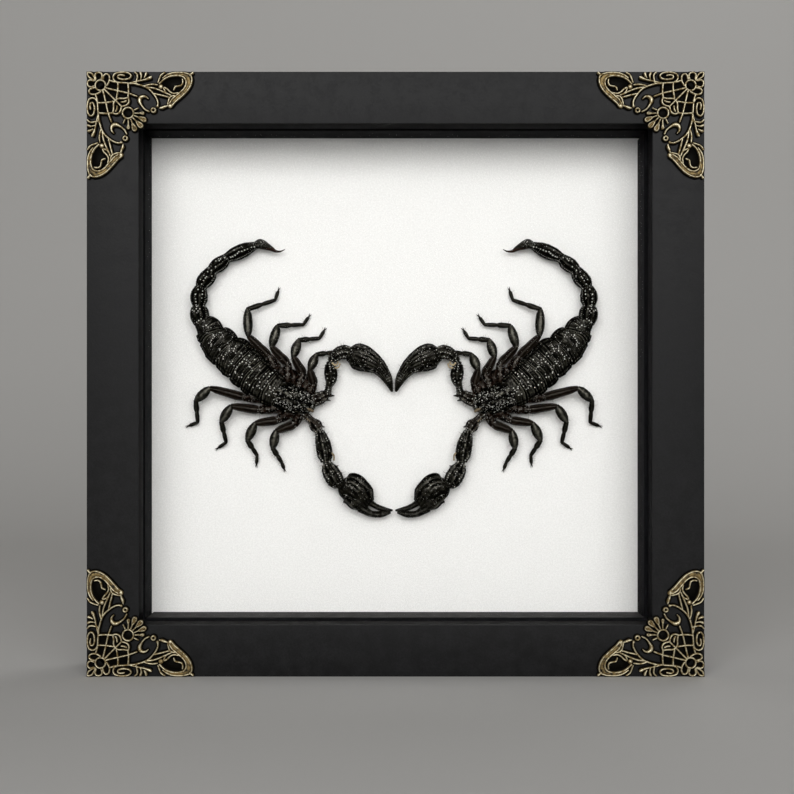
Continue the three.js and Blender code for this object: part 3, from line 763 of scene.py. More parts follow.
def strand(stations, lift=1.0, sides=8):
    # A ridge with a rounded top that stands on the ornament's base plane, with a low flat band along each
    # side in dark patina that also serves as painted shadow
    rows = [[u, w, 0.0, *(half or [strandHalf]), 1.0] for u, w, *half in stations]
    at, run, _ = refine(rows, ornamentValues["step"])
    centres = run[:, :2]
    along = unit(np.gradient(centres, axis=0))
    across = np.stack([-along[:, 1], along[:, 0]], axis=1)
    reach = run[:, 3]
    ends = [(0, -1, (1.0, 0.7)), (-1, 1, (0.7, 1.0))]
    rowsOut = [(centres, across, reach)]
    for end, sign, shares in ends:
        shares = np.array(shares)
        more = centres[end] + along[end] * (shares * sign * reach[end])[:, None]
        width = reach[end] * np.sqrt(np.maximum(1 - shares**2, 0.01))
        rowsOut.insert(0 if end == 0 else len(rowsOut), (more, np.repeat(across[end][None], 2, 0), width))
    centres, across, reach = (np.concatenate([row[i] for row in rowsOut]) for i in range(3))
    angle = np.linspace(0, np.pi, sides)
    # Patina band beside the strand, partly painted shadow
    patinaShadowSkirt = ornamentValues["patinaShadowSkirt"]
    out = np.concatenate([[1.0, 1.0], np.cos(angle), [-1.0, -1.0]])
    extra = np.concatenate([[patinaShadowSkirt, patinaShadowSkirt], 0 * angle, [-patinaShadowSkirt, -patinaShadowSkirt]])
    up = np.concatenate([[0.0, 0.12], 0.2 + 0.8 * np.sin(angle) ** 0.8, [0.12, 0.0]])
    flat = centres[:, None] + across[:, None] * (reach[:, None] * out[None] + extra[None])[..., None]
    rise = np.broadcast_to(up * lift, flat.shape[:2])
    return {"flat": flat.reshape(-1, 2), "rise": rise.ravel(), "quads": ringQuads(len(centres), len(out))}


def ringStrand(u, w, radius, half=strandHalf):
    turns = np.linspace(0, 2 * np.pi, 25)
    return strand([[u + radius * math.cos(t), w + radius * math.sin(t), half] for t in turns])


knobValues = {"sides": 14, "levels": 4, "brim": 0.45}


def knob(u, w, radius):
    # A domed bead on an upright brim
    sides, brim = knobValues["sides"], knobValues["brim"]
    turns = np.arange(sides) / sides * 2 * np.pi
    rings = []
    for level in np.linspace(0, np.pi / 2, knobValues["levels"] + 1)[:-1]:
        out = radius * math.cos(level)
        height = brim + (1 - brim) * math.sin(level)
        rings.append([[u + out * math.cos(t), w + out * math.sin(t), height] for t in turns])
    rings.insert(0, [[x, y, 0.0] for x, y, _ in rings[0]])
    points = np.array([*[point for ring in rings for point in ring], [u, w, 1.0]])
    k = np.arange(sides)
    last = (len(rings) - 1) * sides
    tips = np.stack([last + k, last + (k + 1) % sides, np.full(sides, last + sides)], axis=1)
    quads = ringQuads(len(rings), sides)
    return {"flat": points[:, :2], "rise": points[:, 2], "quads": quads, "triangles": tips}


def patinaShadeSheet(outline, rise=0.07):
    # A thin flat sheet inside an outline, low enough to take the dark patina colour, partly as painted shade
    ring = np.array(outline, float)
    count = len(ring)
    k = np.arange(count)
    points = np.concatenate([ring, ring, [ring.mean(axis=0)]])
    heights = np.concatenate([np.zeros(count), np.full(count + 1, rise)])
    quads = np.stack([k, (k + 1) % count, count + (k + 1) % count, count + k], axis=-1)
    tips = np.stack([count + k, count + (k + 1) % count, np.full(count, 2 * count)], axis=1)
    return {"flat": points, "rise": heights, "quads": quads, "triangles": tips}


def overDiagonal(shape):
    # The same shape with its two directions swapped, and its faces turned round to match
    other = dict(shape, flat=shape["flat"][:, ::-1], quads=shape["quads"][:, ::-1])
    if "triangles" in shape:
        other["triangles"] = shape["triangles"][:, ::-1]
    return other


def ornamentParts():
    half = [strand(line) for line in cornerStrands]
    half += [strand(line) for line in cornerShapes]
    half.append(strand(leafBand, lift=0.62))
    half += [ringStrand(*ring) for ring in sideRings]
    half += [knob(*bead) for bead in cornerKnobs]
    half += [patinaShadeSheet(outline) for outline in halfPatinaShadeSheets]
    once = []
    centre = cornerRings[1][0]
    for degrees, width in rosetteRays:
        way = np.array([math.cos(math.radians(degrees)), math.sin(math.radians(degrees))])
        ends = [centre + way * r for r in (2.8, 3.6, 4.4)]
        (once if degrees == 45 else half).append(strand([[*end, width] for end in ends]))
    # Each drop is an outline and a lower filling, as [share of its length, share of its width]
    outline = [
        (0, 0.3), (0.4, 0.75), (0.75, 1), (1, 0.6), (1.05, 0), (1, -0.6), (0.75, -1), (0.4, -0.75), (0, -0.3),
    ]
    filling = [(0.2, 0.4), (0.6, 0.7), (0.95, 0.6)]
    for degrees, start, stop, width in rosetteDrops:
        way = np.array([math.cos(math.radians(degrees)), math.sin(math.radians(degrees))])
        over = np.array([-way[1], way[0]])
        loop = [centre + way * (start + (stop - start) * t) + over * width * w for t, w in outline]
        fill = [[*(centre + way * (start + (stop - start) * t)), width * w] for t, w in filling]
        drop = [strand([[*place, 0.3] for place in loop]), strand(fill, lift=0.7)]
        (once if degrees == 45 else half).extend(drop)
    whole = half + [overDiagonal(shape) for shape in half] + once
    whole += [ringStrand(*ring) for ring in cornerRings]
    whole += [patinaShadeSheet(outline) for outline in cornerPatinaShadeSheets]
    for u, w, radius in cornerRings[1:]:
        turns = np.arange(20) / 20 * 2 * np.pi
        whole.append(patinaShadeSheet([[u + radius * math.cos(t), w + radius * math.sin(t)] for t in turns]))
    whole.append(strand([[7.2, 7.2], [10.5, 10.5], [14.0, 14.0]]))
    petal = [[3.6, 3.3], [2.9, 1.9], [2.0, 0.8], [1.1, 0.5], [0.55, 0.55]]
    whole.append(strand(petal + [[w, u] for u, w in petal[-2::-1]]))
    return whole


def addOrnaments():
    shapes = ornamentParts()
    for name, turn, x, z in (
        ("top_left", 0, -1, 1), ("top_right", 1, 1, 1), ("bottom_right", 2, 1, -1),
        ("bottom_left", 3, -1, -1),
    ):
        cosine, sine = (1, 0, -1, 0)[turn], (0, 1, 0, -1)[turn]
        parts = []
        for shape in shapes:
            flat = shape["flat"] * ornamentValues["scale"] + ornamentValues["inward"]
            u, w = np.maximum(flat, 0.0).T  # nothing hangs over the frame's edge
            y = frontFace - ornamentValues["base"] - shape["rise"] * ornamentValues["reach"]
            points = np.stack([
                u * cosine - w * sine + x * frameWidth / 2, y, -w * cosine - u * sine + middleZ + z * middleZ,
            ], axis=1)
            parts.append(dict(shape, points=points, height=shape["rise"]))
        piece = newPiece(f"ornament_{name}_filigree", parts, antiqueBrass, ["height"])
        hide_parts(f"ornament_{name}")
    print("ornaments:", len(shapes), "strands in each")


# Left scorpion. Stations are [x, z, rise, half width, half thickness] in mm: x from the pair's axis,
# z from the frame's middle, rise over the backdrop.

backPlates = [
    [-80.5, 22.8, 3.5, 3.4, 2.8], [-77.4, 19.7, 3.7, 5.7, 3.2], [-76.1, 16.6, 3.7, 6.2, 3.2],
    [-73.0, 13.5, 3.9, 7.9, 3.6], [-69.8, 9.9, 3.9, 7.7, 3.4], [-66.4, 7.7, 4.0, 8.9, 3.7],
    [-63.3, 5.0, 4.0, 8.4, 3.5], [-61.1, 2.9, 4.0, 8.9, 3.7], [-58.9, 0.7, 4.0, 8.3, 3.5],
    [-57.0, -0.9, 4.0, 8.5, 3.7], [-55.3, -2.4, 4.0, 8.1, 3.5], [-53.7, -3.6, 4.0, 8.1, 3.7],
    [-52.1, -4.8, 4.0, 7.7, 3.5], [-49.0, -6.7, 4.0, 7.2, 3.5],
]
plateJoints = [0, 2, 4, 6, 8, 10, 12, 13]
frontShield = [
    [-49.4, -6.8, 4.0, 5.6, 3.2], [-46.5, -8.2, 4.4, 6.2, 3.6], [-43.5, -9.4, 4.4, 6.3, 3.6],
    [-38.9, -10.7, 4.2, 5.8, 3.4], [-35.1, -11.6, 3.8, 4.6, 2.8], [-33.6, -12.1, 3.6, 3.0, 2.0],
]
chest = [[-51.5, -3.6, 2.4, 8.0, 1.6], [-43.5, -6.2, 2.4, 9.0, 1.8], [-37.0, -8.6, 2.4, 7.4, 1.6]]
tailSegments = [
    [[-80.6, 21.8, 3.4, 3.2, 2.8], [-81.0, 24.8, 3.7, 4.1, 3.3], [-81.3, 27.4, 3.7, 3.8, 3.2],
     [-81.5, 28.9, 3.5, 2.9, 2.6]],
    [[-81.5, 28.9, 3.5, 2.6, 2.5], [-81.4, 31.2, 3.6, 3.6, 3.1], [-81.2, 34.4, 3.6, 3.6, 3.1],
     [-80.7, 36.9, 3.4, 2.6, 2.4]],
    [[-80.7, 36.9, 3.4, 2.4, 2.3], [-79.4, 39.2, 3.5, 3.3, 3.0], [-77.4, 41.6, 3.5, 3.4, 3.0],
     [-76.1, 44.0, 3.3, 2.5, 2.3]],
    [[-76.1, 44.0, 3.3, 2.3, 2.2], [-74.0, 45.8, 3.4, 3.1, 2.8], [-71.8, 47.4, 3.4, 3.1, 2.8],
     [-70.1, 49.1, 3.2, 2.2, 2.2]],
    [[-70.1, 49.1, 3.2, 2.0, 2.0], [-67.2, 50.5, 3.2, 2.9, 2.6], [-62.6, 52.5, 3.2, 3.1, 2.7],
     [-58.1, 54.4, 3.0, 1.8, 1.8]],
]
sting = [
    [-58.1, 54.4, 3.0, 1.4, 1.5], [-56.0, 55.0, 3.1, 2.1, 2.0], [-53.6, 54.2, 3.1, 1.7, 1.8],
    [-51.4, 53.2, 3.0, 1.1, 1.2], [-49.4, 52.1, 2.8, 0.6, 0.7], [-47.3, 52.1, 2.7, 0.35, 0.4],
    [-45.6, 52.9, 2.7, 0.12, 0.12],
]
# Legs: joints [x, z, rise] at the hip, thigh, knee, shin, ankle and claw
legJoints = [
    [[-49.4, 3.2, 3.4], [-51.9, 7.8, 3.6], [-60.6, 16.6, 5.4], [-61.1, 27.7, 4.2], [-49.8, 31.8, 1.6],
     [-48.4, 36.2, 0.8]],
    [[-44.4, -1.8, 3.4], [-44.4, 4.9, 3.6], [-51.0, 12.0, 5.2], [-48.5, 20.9, 4.0], [-38.0, 21.5, 1.6],
     [-35.6, 25.1, 0.8]],
    [[-40.2, -4.4, 3.4], [-37.9, 0.7, 3.6], [-41.9, 7.8, 5.0], [-39.8, 14.9, 3.8], [-31.2, 15.8, 1.6],
     [-29.1, 19.4, 0.8]],
    [[-36.0, -7.7, 3.4], [-33.5, -3.5, 3.4], [-35.1, 2.5, 4.6], [-32.4, 8.9, 3.4], [-24.8, 10.0, 1.4],
     [-22.4, 12.0, 0.8]],
    [[-55.2, -9.0, 3.2], [-62.6, -8.9, 3.4], [-76.7, -5.1, 5.2], [-82.6, -10.4, 4.2], [-82.2, -19.4, 1.6],
     [-86.4, -21.0, 0.8]],
    [[-47.7, -13.0, 3.2], [-56.1, -14.2, 3.4], [-67.8, -12.6, 5.2], [-72.0, -19.2, 4.0],
     [-70.3, -27.8, 1.6], [-74.0, -30.3, 0.8]],
    [[-42.7, -14.8, 3.2], [-48.5, -18.4, 3.2], [-57.8, -19.8, 5.0], [-61.2, -26.9, 3.8],
     [-57.3, -33.3, 1.6], [-57.7, -37.2, 0.9]],
    [[-39.3, -14.8, 3.2], [-41.4, -20.1, 3.0], [-49.2, -23.0, 4.4], [-50.6, -30.2, 3.4],
     [-47.1, -36.1, 1.6], [-46.0, -39.2, 0.9]],
]
# Each leg segment: where its stations are as [joint, share of the way to the next, half width]
legSegments = {
    "coxa": [[0, 0.0, 2.5], [0, 0.5, 2.3], [1, 0.0, 1.7]],
    "femur": [[0, 0.92, 1.35], [1, 0.12, 1.8], [1, 0.5, 1.75], [1, 0.85, 1.4], [1, 0.98, 1.0]],
    "patella": [[2, 0.02, 1.0], [2, 0.2, 1.6], [2, 0.5, 1.95], [2, 0.8, 1.6], [2, 0.97, 1.0]],
    "tibia": [[3, 0.0, 0.9], [3, 0.2, 1.05], [3, 0.4, 1.1], [3, 0.52, 0.75]],
    "ankle": [[3, 0.5, 0.7], [3, 0.65, 0.88], [3, 0.85, 0.82], [3, 1.0, 0.68]],
    "foot": [[4, 0.0, 0.6], [4, 0.4, 0.72], [4, 0.8, 0.6], [4, 0.95, 0.3]],
}
armSkins = {
    "upperBase": [[-35.2, -11.0, 3.4, 2.6, 2.4], [-31.5, -9.4, 3.4, 2.8, 2.5], [-28.6, -8.0, 3.4, 2.2, 2.1]],
    "upperArm": [[-28.0, -7.8, 3.4, 1.9, 1.9], [-27.2, -4.6, 3.4, 1.4, 1.6], [-26.4, -1.8, 3.5, 2.4, 2.1],
                 [-26.3, 0.8, 3.5, 2.8, 2.3], [-26.6, 3.2, 3.5, 2.5, 2.1], [-26.8, 5.4, 3.4, 1.6, 1.6]],
    "upperFore": [[-26.6, 5.4, 3.4, 1.3, 1.5], [-25.4, 7.2, 3.5, 2.2, 2.1], [-22.9, 9.3, 3.6, 2.8, 2.5],
                  [-20.0, 10.0, 3.5, 3.0, 2.6], [-18.0, 9.9, 3.4, 2.1, 1.9]],
    "lowerBase": [[-37.6, -16.0, 3.2, 2.1, 2.0], [-34.8, -18.6, 3.4, 1.7, 1.7], [-32.5, -21.0, 3.5, 2.8, 2.4],
                  [-31.0, -22.9, 3.4, 1.6, 1.6]],
    "lowerArm": [[-31.0, -22.6, 3.4, 1.5, 1.6], [-30.4, -25.2, 3.6, 2.6, 2.4], [-29.2, -30.2, 3.6, 3.3, 2.7],
                 [-28.6, -34.0, 3.5, 3.0, 2.4], [-28.2, -36.5, 3.4, 1.6, 1.7]],
    "lowerFore": [[-28.2, -36.2, 3.4, 1.6, 1.7], [-27.3, -38.4, 3.6, 3.1, 2.6], [-25.4, -41.8, 3.6, 3.8, 2.9],
                  [-23.7, -44.7, 3.5, 3.2, 2.6], [-22.5, -46.6, 3.4, 1.4, 1.6]],
}
handSkins = {
    "upperHand": [[-18.6, 9.0, 3.5, 3.2, 2.4], [-16.4, 8.5, 3.7, 5.2, 3.2], [-13.3, 7.4, 3.8, 5.6, 3.4],
                  [-9.9, 5.9, 3.7, 4.8, 3.0], [-6.6, 3.8, 3.5, 3.5, 2.4], [-4.2, 1.0, 3.2, 2.6, 1.8],
                  [-2.2, -2.6, 3.0, 1.7, 1.2], [-0.9, -6.4, 2.9, 0.5, 0.5]],
    "lowerHand": [[-22.6, -45.2, 3.4, 2.2, 2.0], [-20.8, -46.0, 3.6, 4.6, 3.0], [-18.3, -46.7, 3.8, 6.6, 3.4],
                  [-15.5, -48.9, 3.9, 6.5, 3.5], [-13.2, -51.7, 3.8, 6.0, 3.2],
                  [-11.7, -53.5, 3.6, 4.3, 2.4]],
    "fixedFinger": [[-12.0, -51.2, 3.5, 1.9, 2.0], [-8.8, -53.7, 3.4, 1.15, 1.5],
                    [-4.6, -55.6, 3.2, 1.0, 1.1],
                    [-0.8, -56.2, 3.0, 0.4, 0.5]],
    "movingFinger": [[-13.8, -54.9, 3.5, 2.2, 2.0], [-9.4, -57.5, 3.4, 1.3, 1.5],
                     [-5.4, -57.7, 3.2, 1.3, 1.3],
                     [-1.8, -56.9, 3.0, 0.7, 0.8]],
}
# Stout spines on the inner side of the arms, jaws and soft joints: [from, to, half width]
armSpines = [
    [[-28.0, -8.2, 3.4], [-24.8, -8.3, 3.2], 1.1], [[-29.2, -9.6, 3.4], [-26.4, -10.4, 3.2], 0.9],
    [[-24.2, 9.6, 3.6], [-22.8, 12.5, 3.4], 1.2], [[-31.6, -20.6, 3.4], [-28.9, -21.4, 3.2], 1.0],
    [[-26.0, -38.4, 3.6], [-23.2, -37.5, 3.3], 1.2], [[-24.6, -41.0, 3.6], [-21.8, -40.4, 3.3], 1.1],
]
jaws = [[[-37.8, -12.6, 5.8], [-33.6, -14.9, 5.2], 0.9], [[-36.4, -10.6, 3.4], [-32.2, -12.0, 3.0], 1.3]]
# Folds of pale skin at the elbows, each a row of [x, z, rise]
softJoints = [
    [[-25.8, 4.3, 4.6], [-24.5, 3.3, 4.3], [-23.1, 3.6, 4.2], [-22.5, 5.0, 4.5]],
    [[-25.7, 5.4, 5.0], [-24.7, 4.5, 4.9], [-23.8, 4.7, 4.8], [-23.3, 5.8, 4.9]],
    [[-26.4, -31.6, 4.4], [-25.1, -33.2, 4.2], [-25.0, -35.2, 4.2]],
    [[-36.4, -17.6, 4.4], [-35.0, -18.8, 4.6], [-34.4, -20.4, 4.4]],
]

plateValues = {
    "bow": 1.8, "rim": 0.32, "groove": 0.75, "cross": 0.3, "step": 0.18, "around": 90, "fineGrains": 170,
}
# Grains on the back plates: [distance along the back, distance across, radius]
backGrains = [
    [1.4, -1.1, 0.2], [3.3, -0.3, 0.3], [2.7, 0.9, 0.22], [4.3, -0.5, 0.2], [4.9, -1.4, 0.2],
    [6.2, 0.9, 0.22],
    [8.6, -1.1, 0.32], [9.6, -2.0, 0.22], [9.5, -1.0, 0.24], [9.5, 0.0, 0.22], [9.6, 1.0, 0.24],
    [9.8, 1.8, 0.2],
    [9.6, 2.6, 0.22], [10.5, -4.0, 0.18], [11.4, -3.7, 0.22], [11.5, -2.7, 0.22], [10.6, 2.2, 0.24],
    [11.0, 2.8, 0.24], [9.8, -3.6, 0.18], [12.0, -3.4, 0.18], [13.8, -6.2, 0.2], [14.7, -3.1, 0.26],
    [14.6, 1.0, 0.26], [14.9, 1.4, 0.2], [16.4, -2.8, 0.2], [16.8, -2.4, 0.18], [16.7, 2.2, 0.22],
    [16.6, 4.0, 0.22], [16.5, 5.4, 0.18], [17.6, -1.8, 0.2], [18.2, -1.2, 0.26], [17.6, 0.2, 0.22],
    [17.7, 1.0, 0.22], [17.5, 2.2, 0.22], [17.9, 3.0, 0.24], [19.5, -4.2, 0.24], [19.6, -3.0, 0.24],
    [19.8, -2.0, 0.22], [20.8, -1.8, 0.2], [18.6, -2.6, 0.2], [21.8, 1.7, 0.24], [20.8, 2.4, 0.2],
    [22.0, 2.7, 0.28], [23.4, 2.8, 0.26], [21.6, 4.2, 0.2], [22.3, -3.2, 0.24], [22.6, -1.8, 0.24],
    [23.6, -2.6, 0.2], [24.8, -2.2, 0.24], [25.0, -0.8, 0.28], [24.7, 0.4, 0.24], [24.9, 2.2, 0.26],
    [25.0, 3.0, 0.22], [25.6, 4.2, 0.28], [26.1, 4.5, 0.22], [25.3, -4.6, 0.24], [25.8, -2.6, 0.2],
    [26.4, -1.6, 0.2], [28.0, -5.0, 0.32], [27.4, -2.8, 0.24], [27.7, -1.9, 0.22], [28.7, -1.5, 0.24],
    [29.4, -1.6, 0.2], [24.5, 7.0, 0.26], [28.4, 4.6, 0.26], [29.3, 4.0, 0.26], [28.6, 2.8, 0.2],
    [28.2, -1.4, 0.2], [30.5, -1.1, 0.28], [31.2, 2.0, 0.26], [31.8, 4.2, 0.24], [33.5, 4.1, 0.32],
    [33.8, 0.4, 0.28], [32.8, -3.4, 0.2], [31.6, -4.6, 0.22], [35.7, -3.8, 0.28], [35.6, -2.4, 0.2],
    [36.0, 0.4, 0.28], [36.1, 2.4, 0.26], [35.3, 4.0, 0.28], [34.8, -0.6, 0.2], [37.8, -7.8, 0.24],
    [37.8, -5.8, 0.26], [37.7, -3.8, 0.26], [38.3, -1.9, 0.28], [38.3, -0.8, 0.2], [38.6, 0.6, 0.24],
    [37.4, 2.4, 0.24], [38.4, 2.4, 0.24], [36.5, 1.8, 0.2], [37.4, -4.8, 0.22], [39.4, -1.2, 0.2],
    [40.4, -0.6, 0.22], [40.9, 0.0, 0.26], [42.4, -1.0, 0.22], [42.4, 0.0, 0.22], [42.0, 1.0, 0.2],
    [42.0, 2.6, 0.22], [40.8, 2.8, 0.22], [43.4, 1.0, 0.2], [44.2, 0.8, 0.24], [44.8, -0.4, 0.2],
]
# Smooth sunken windows on the back: [along, across, half length, half width]
backWindows = [
    [10.9, 0.0, 0.55, 1.7], [13.2, 0.6, 0.7, 2.2], [20.0, 0.5, 1.2, 1.9], [26.8, 1.5, 0.8, 2.2],
    [32.4, 0.6, 0.7, 2.4], [21.4, -4.6, 0.9, 1.2], [13.0, -4.6, 0.8, 1.0],
]


def crossLines(span):
    # Where the lesser cross grooves of a plate run, as shares of its length, with their depth
    if span > 4:
        return [(0.2, 0.7), (0.44, 0.8), (0.7, 1.0), (0.88, 0.5)]
    return [(0.3, 0.8), (0.64, 0.9)] if span > 2.6 else [(0.5, 0.9)]


def plateBend(side):
    # The cross lines run straight over the back and swing forward towards the body's outer edge
    outer = np.clip((-side - 0.15) / 0.85, 0, 1) ** 1.5
    return plateValues["bow"] * (1 - outer - 0.25 * np.clip(side, 0, 1) ** 3)


def plateRelief(joints, halfWidth):
    # Overlapping back plates: a raised rear rim, a groove behind it and lesser lines across
    def relief(s, angle, points):
        side = np.cos(angle) + 0 * s
        facing = np.clip(np.sin(angle) * 2.2 + 0.1, 0, 1)
        bowed = s + plateBend(side)
        lift = np.zeros(side.shape)
        broken = np.clip(0.75 + 1.2 * lumps(points, 2.2, 2), 0.1, 1)
        for start, stop in zip(joints[:-1], joints[1:]):
            span = stop - start
            at = bowed - start
            for shift, share in ((0, 1), (0.85, 0.75)):
                lift -= plateValues["groove"] * share * bump(at - shift, 0.22)
                lift += plateValues["rim"] * share * bump(at - shift - 0.43, 0.18)
            for share, depth in crossLines(span):
                lift -= plateValues["cross"] * depth * bump(at - share * span, 0.2) * broken
                lift += 0.24 * depth * bump(at - share * span - 0.42, 0.17) * broken
        across = -side * np.interp(s, *halfWidth)
        for along, middle, length, width in backWindows:
            inside = np.maximum(np.abs(s - along) / length, np.abs(across - middle) / width)
            lift -= 0.12 * np.clip((1.15 - inside) * 4, 0, 1)
            lift += 0.05 * bump(inside - 1.25, 0.14) * broken
        lift -= 0.4 * bump(np.abs(side) - 0.78, 0.03) + 0.5 * bump(np.abs(side) - 0.93, 0.025)
        lift = lift * facing
        for joint in joints[1:-1]:
            lift -= 0.55 * bump(s - joint, 0.32) * np.clip((np.abs(side) - 0.8) * 6, 0, 1)
        streaks = 0.05 * np.cos(bowed * 2 * np.pi / 0.9 + 2.5 * lumps(points, 3.0, 7))
        return lift + (streaks + 0.035 + 0.1 * lumps(points, 1.0, 3)) * facing
    return relief


def backParts():
    at, run, length = refine(backPlates, 0.5)
    joints = [length[i] for i in plateJoints]
    halfWidth = (at, run[:, 3])
    relief = plateRelief(joints, halfWidth)
    body = skinOver(backPlates, plateValues["step"], plateValues["around"], relief)
    grains = np.array(backGrains)
    reach = np.clip(-grains[:, 1] / np.interp(grains[:, 0], *halfWidth), -0.93, 0.93)
    count = plateValues["fineGrains"]
    s = dice.uniform(0.5, length[-1], count)
    fine = np.clip(dice.normal(0, 0.4, count), -0.88, 0.88)
    return [
        body,
        granulesOn(body, grains[:, 0], np.arccos(reach), grains[:, 2], 1.0, 8, least=0.7),
        granulesOn(body, s, np.arccos(fine), dice.uniform(0.06, 0.14, count), 0.3),
    ]


shieldValues = {"nuggets": 165, "nuggetSize": (0.09, 0.17), "nuggetGlint": 0.72, "fineGrains": 90, "eye": 0.42}


def shieldRelief(s, angle, points):
    side = np.cos(angle)
    facing = np.clip(np.sin(angle) * 2, 0, 1)
    middle = -0.5 * bump(side, 0.055) + 0.16 * bump(np.abs(side) - 0.2, 0.1)
    furrow = -0.35 * bump(np.abs(side) - 0.45 - 0.02 * s, 0.05)
    rugged = 0.3 * lumps(points, 1.2, 5) + 0.2 * lumps(points, 0.6, 6) - 0.12
    return (middle + furrow + rugged * np.clip(s - 0.8, 0.1, 1)) * facing


def shieldParts():
    shield = skinOver(frontShield, 0.22, 64, shieldRelief)
    span = shield["s"][-1]
    count = shieldValues["nuggets"]
    s = dice.uniform(1.3, span * 0.97, count)
    across = np.where(dice.random(count) < 0.5, 0.42, -0.42) + dice.normal(0, 0.19, count)
    angle = np.arccos(np.clip(across, -0.9, 0.9))
    size = dice.uniform(*shieldValues["nuggetSize"], count)
    nuggets = granulesOn(shield, s, angle, size, shieldValues["nuggetGlint"], 8, 3.4, 0.1)
    count = shieldValues["fineGrains"]
    s = dice.uniform(0.8, span, count)
    angle = np.arccos(dice.uniform(-0.92, 0.92, count))
    fine = granulesOn(shield, s, angle, dice.uniform(0.1, 0.2, count), 0.3)
    turns = [math.pi / 2 - 0.12, math.pi / 2 + 0.12]
    eyes = granulesOn(shield, [span * 0.55] * 2, turns, shieldValues["eye"], 0.0, 12)
    under = skinOver(chest, 0.6, 32, lambda s, angle, points: 0.3 * lumps(points, 1.5, 9))
    return [shield, nuggets, fine, dict(eyes, relief=0.02), dict(under, warm=0.3)]


tailValues = {"keel": 0.24, "groove": 0.3, "step": 0.18, "around": 56}
# Grains on each tail segment: [distance along the whole tail, distance across, radius]
tailGrains = [
    [0.9, -1.2, 0.24], [1.5, -0.3, 0.28], [2.0, 0.8, 0.22], [0.5, 2.0, 0.24], [5.6, -2.7, 0.26],
    [5.1, -1.6, 0.22],
    [5.8, -0.7, 0.28], [5.0, 0.0, 0.24], [5.6, 0.8, 0.26], [6.6, -0.4, 0.24], [4.4, -0.6, 0.18],
    [7.8, -0.8, 0.24],
    [9.0, -0.8, 0.26], [11.9, -1.1, 0.3], [13.8, -0.4, 0.3], [12.2, 1.7, 0.28], [13.6, 1.6, 0.24],
    [10.6, 1.6, 0.2],
    [10.2, -1.0, 0.2], [16.8, 0.2, 0.24], [18.4, 0.2, 0.22], [19.6, 0.0, 0.26], [20.3, 0.0, 0.26],
    [21.6, 1.6, 0.24],
    [18.0, -1.2, 0.2], [20.0, -1.2, 0.2], [22.2, -0.8, 0.2], [23.8, 0.4, 0.26], [26.2, 0.4, 0.28],
    [27.6, -1.4, 0.22],
    [28.8, -0.8, 0.26], [29.6, -1.0, 0.24], [29.0, -1.5, 0.2], [31.2, -0.2, 0.24], [33.8, 0.8, 0.26],
    [34.6, 0.9, 0.28],
    [35.8, 0.9, 0.28], [37.0, 0.6, 0.26], [37.8, 0.2, 0.26], [39.0, 0.5, 0.26], [40.2, 0.5, 0.28],
    [41.4, 0.5, 0.2],
    [36.3, -1.2, 0.2], [39.6, -1.4, 0.16], [44.4, 0.6, 0.3], [43.2, 0.4, 0.22],
]


def keelLines(side, ridges, grooves):
    # Ridges and grooves that run along a limb, each as [share of the half width, width, height]
    lift = 0
    for middle, width, height in ridges:
        lift = lift + height * bump(side - middle, width)
    for middle, width, depth in grooves:
        lift = lift - depth * bump(side - middle, width)
    return lift


def tailRelief(s, angle, points):
    side = np.cos(angle)
    broken = np.clip(0.8 + 1.2 * lumps(points, 1.6, 14), 0.2, 1)
    keel, groove = tailValues["keel"], tailValues["groove"]
    lift = keelLines(
        side,
        [(-0.22, 0.1, keel), (0.42, 0.12, 0.8 * keel), (-0.78, 0.09, 0.7 * keel), (0.86, 0.06, 0.6 * keel)],
        [(0.06, 0.09, groove), (-0.52, 0.12, 0.8 * groove), (0.68, 0.07, groove), (-0.93, 0.05, groove)],
    )
    return lift * broken + 0.12 * lumps(points, 0.7, 12) - 0.07


def tailParts():
    parts = []
    grains = np.array(tailGrains)
    start = 0.0
    for stations in tailSegments:
        segment = skinOver(stations, tailValues["step"], tailValues["around"], tailRelief, 0.35)
        parts.append(segment)
        at, run, length = refine(stations, 0.5)
        span = length[-1]
        here = grains[(grains[:, 0] >= start) & (grains[:, 0] < start + span)]
        reach = np.clip(-here[:, 1] / np.interp(here[:, 0] - start, at, run[:, 3]), -0.93, 0.93)
        parts.append(granulesOn(segment, here[:, 0] - start, np.arccos(reach), here[:, 2], 1.0, 8, least=0.7))
        for share in (-0.78, 0.86):
            s = np.arange(0.5, span - 0.2, 0.8)
            turn = math.acos(share) + dice.normal(0, 0.04, len(s))
            parts.append(granulesOn(segment, s, turn, dice.uniform(0.14, 0.2, len(s)), 0.6))
        count = 18
        s = np.where(dice.random(count) < 0.5, 0.25, span - 0.3) + dice.normal(0, 0.25, count)
        turn = dice.uniform(0.2, 2.9, count)
        parts.append(granulesOn(segment, s, turn, dice.uniform(0.1, 0.2, count), 0.5))
        start += span
    bulb = skinOver(sting, 0.15, 40, stingRelief, 0.4)
    shade = np.clip((bulb["points"][:, 2] - 53.5) * -0.6, 0, 0.45)
    parts.append(dict(bulb, warm=shade))
    s = dice.uniform(0.5, 5, 16)
    parts.append(granulesOn(bulb, s, dice.uniform(0.8, 2.3, 16), dice.uniform(0.1, 0.2, 16), 0.7))
    return parts


def stingRelief(s, angle, points):
    fade = np.clip(1 - s / 9, 0, 1)
    return (0.16 * np.cos(angle * 7) + 0.12 * lumps(points, 0.8, 17)) * fade


def legStation(joints, joint, share, half):
    start = np.array(joints[joint])
    stop = np.array(joints[min(joint + 1, len(joints) - 1)])
    place = start + (stop - start) * share
    return [*place, half, min(half * 0.88, place[2] - 0.2)]


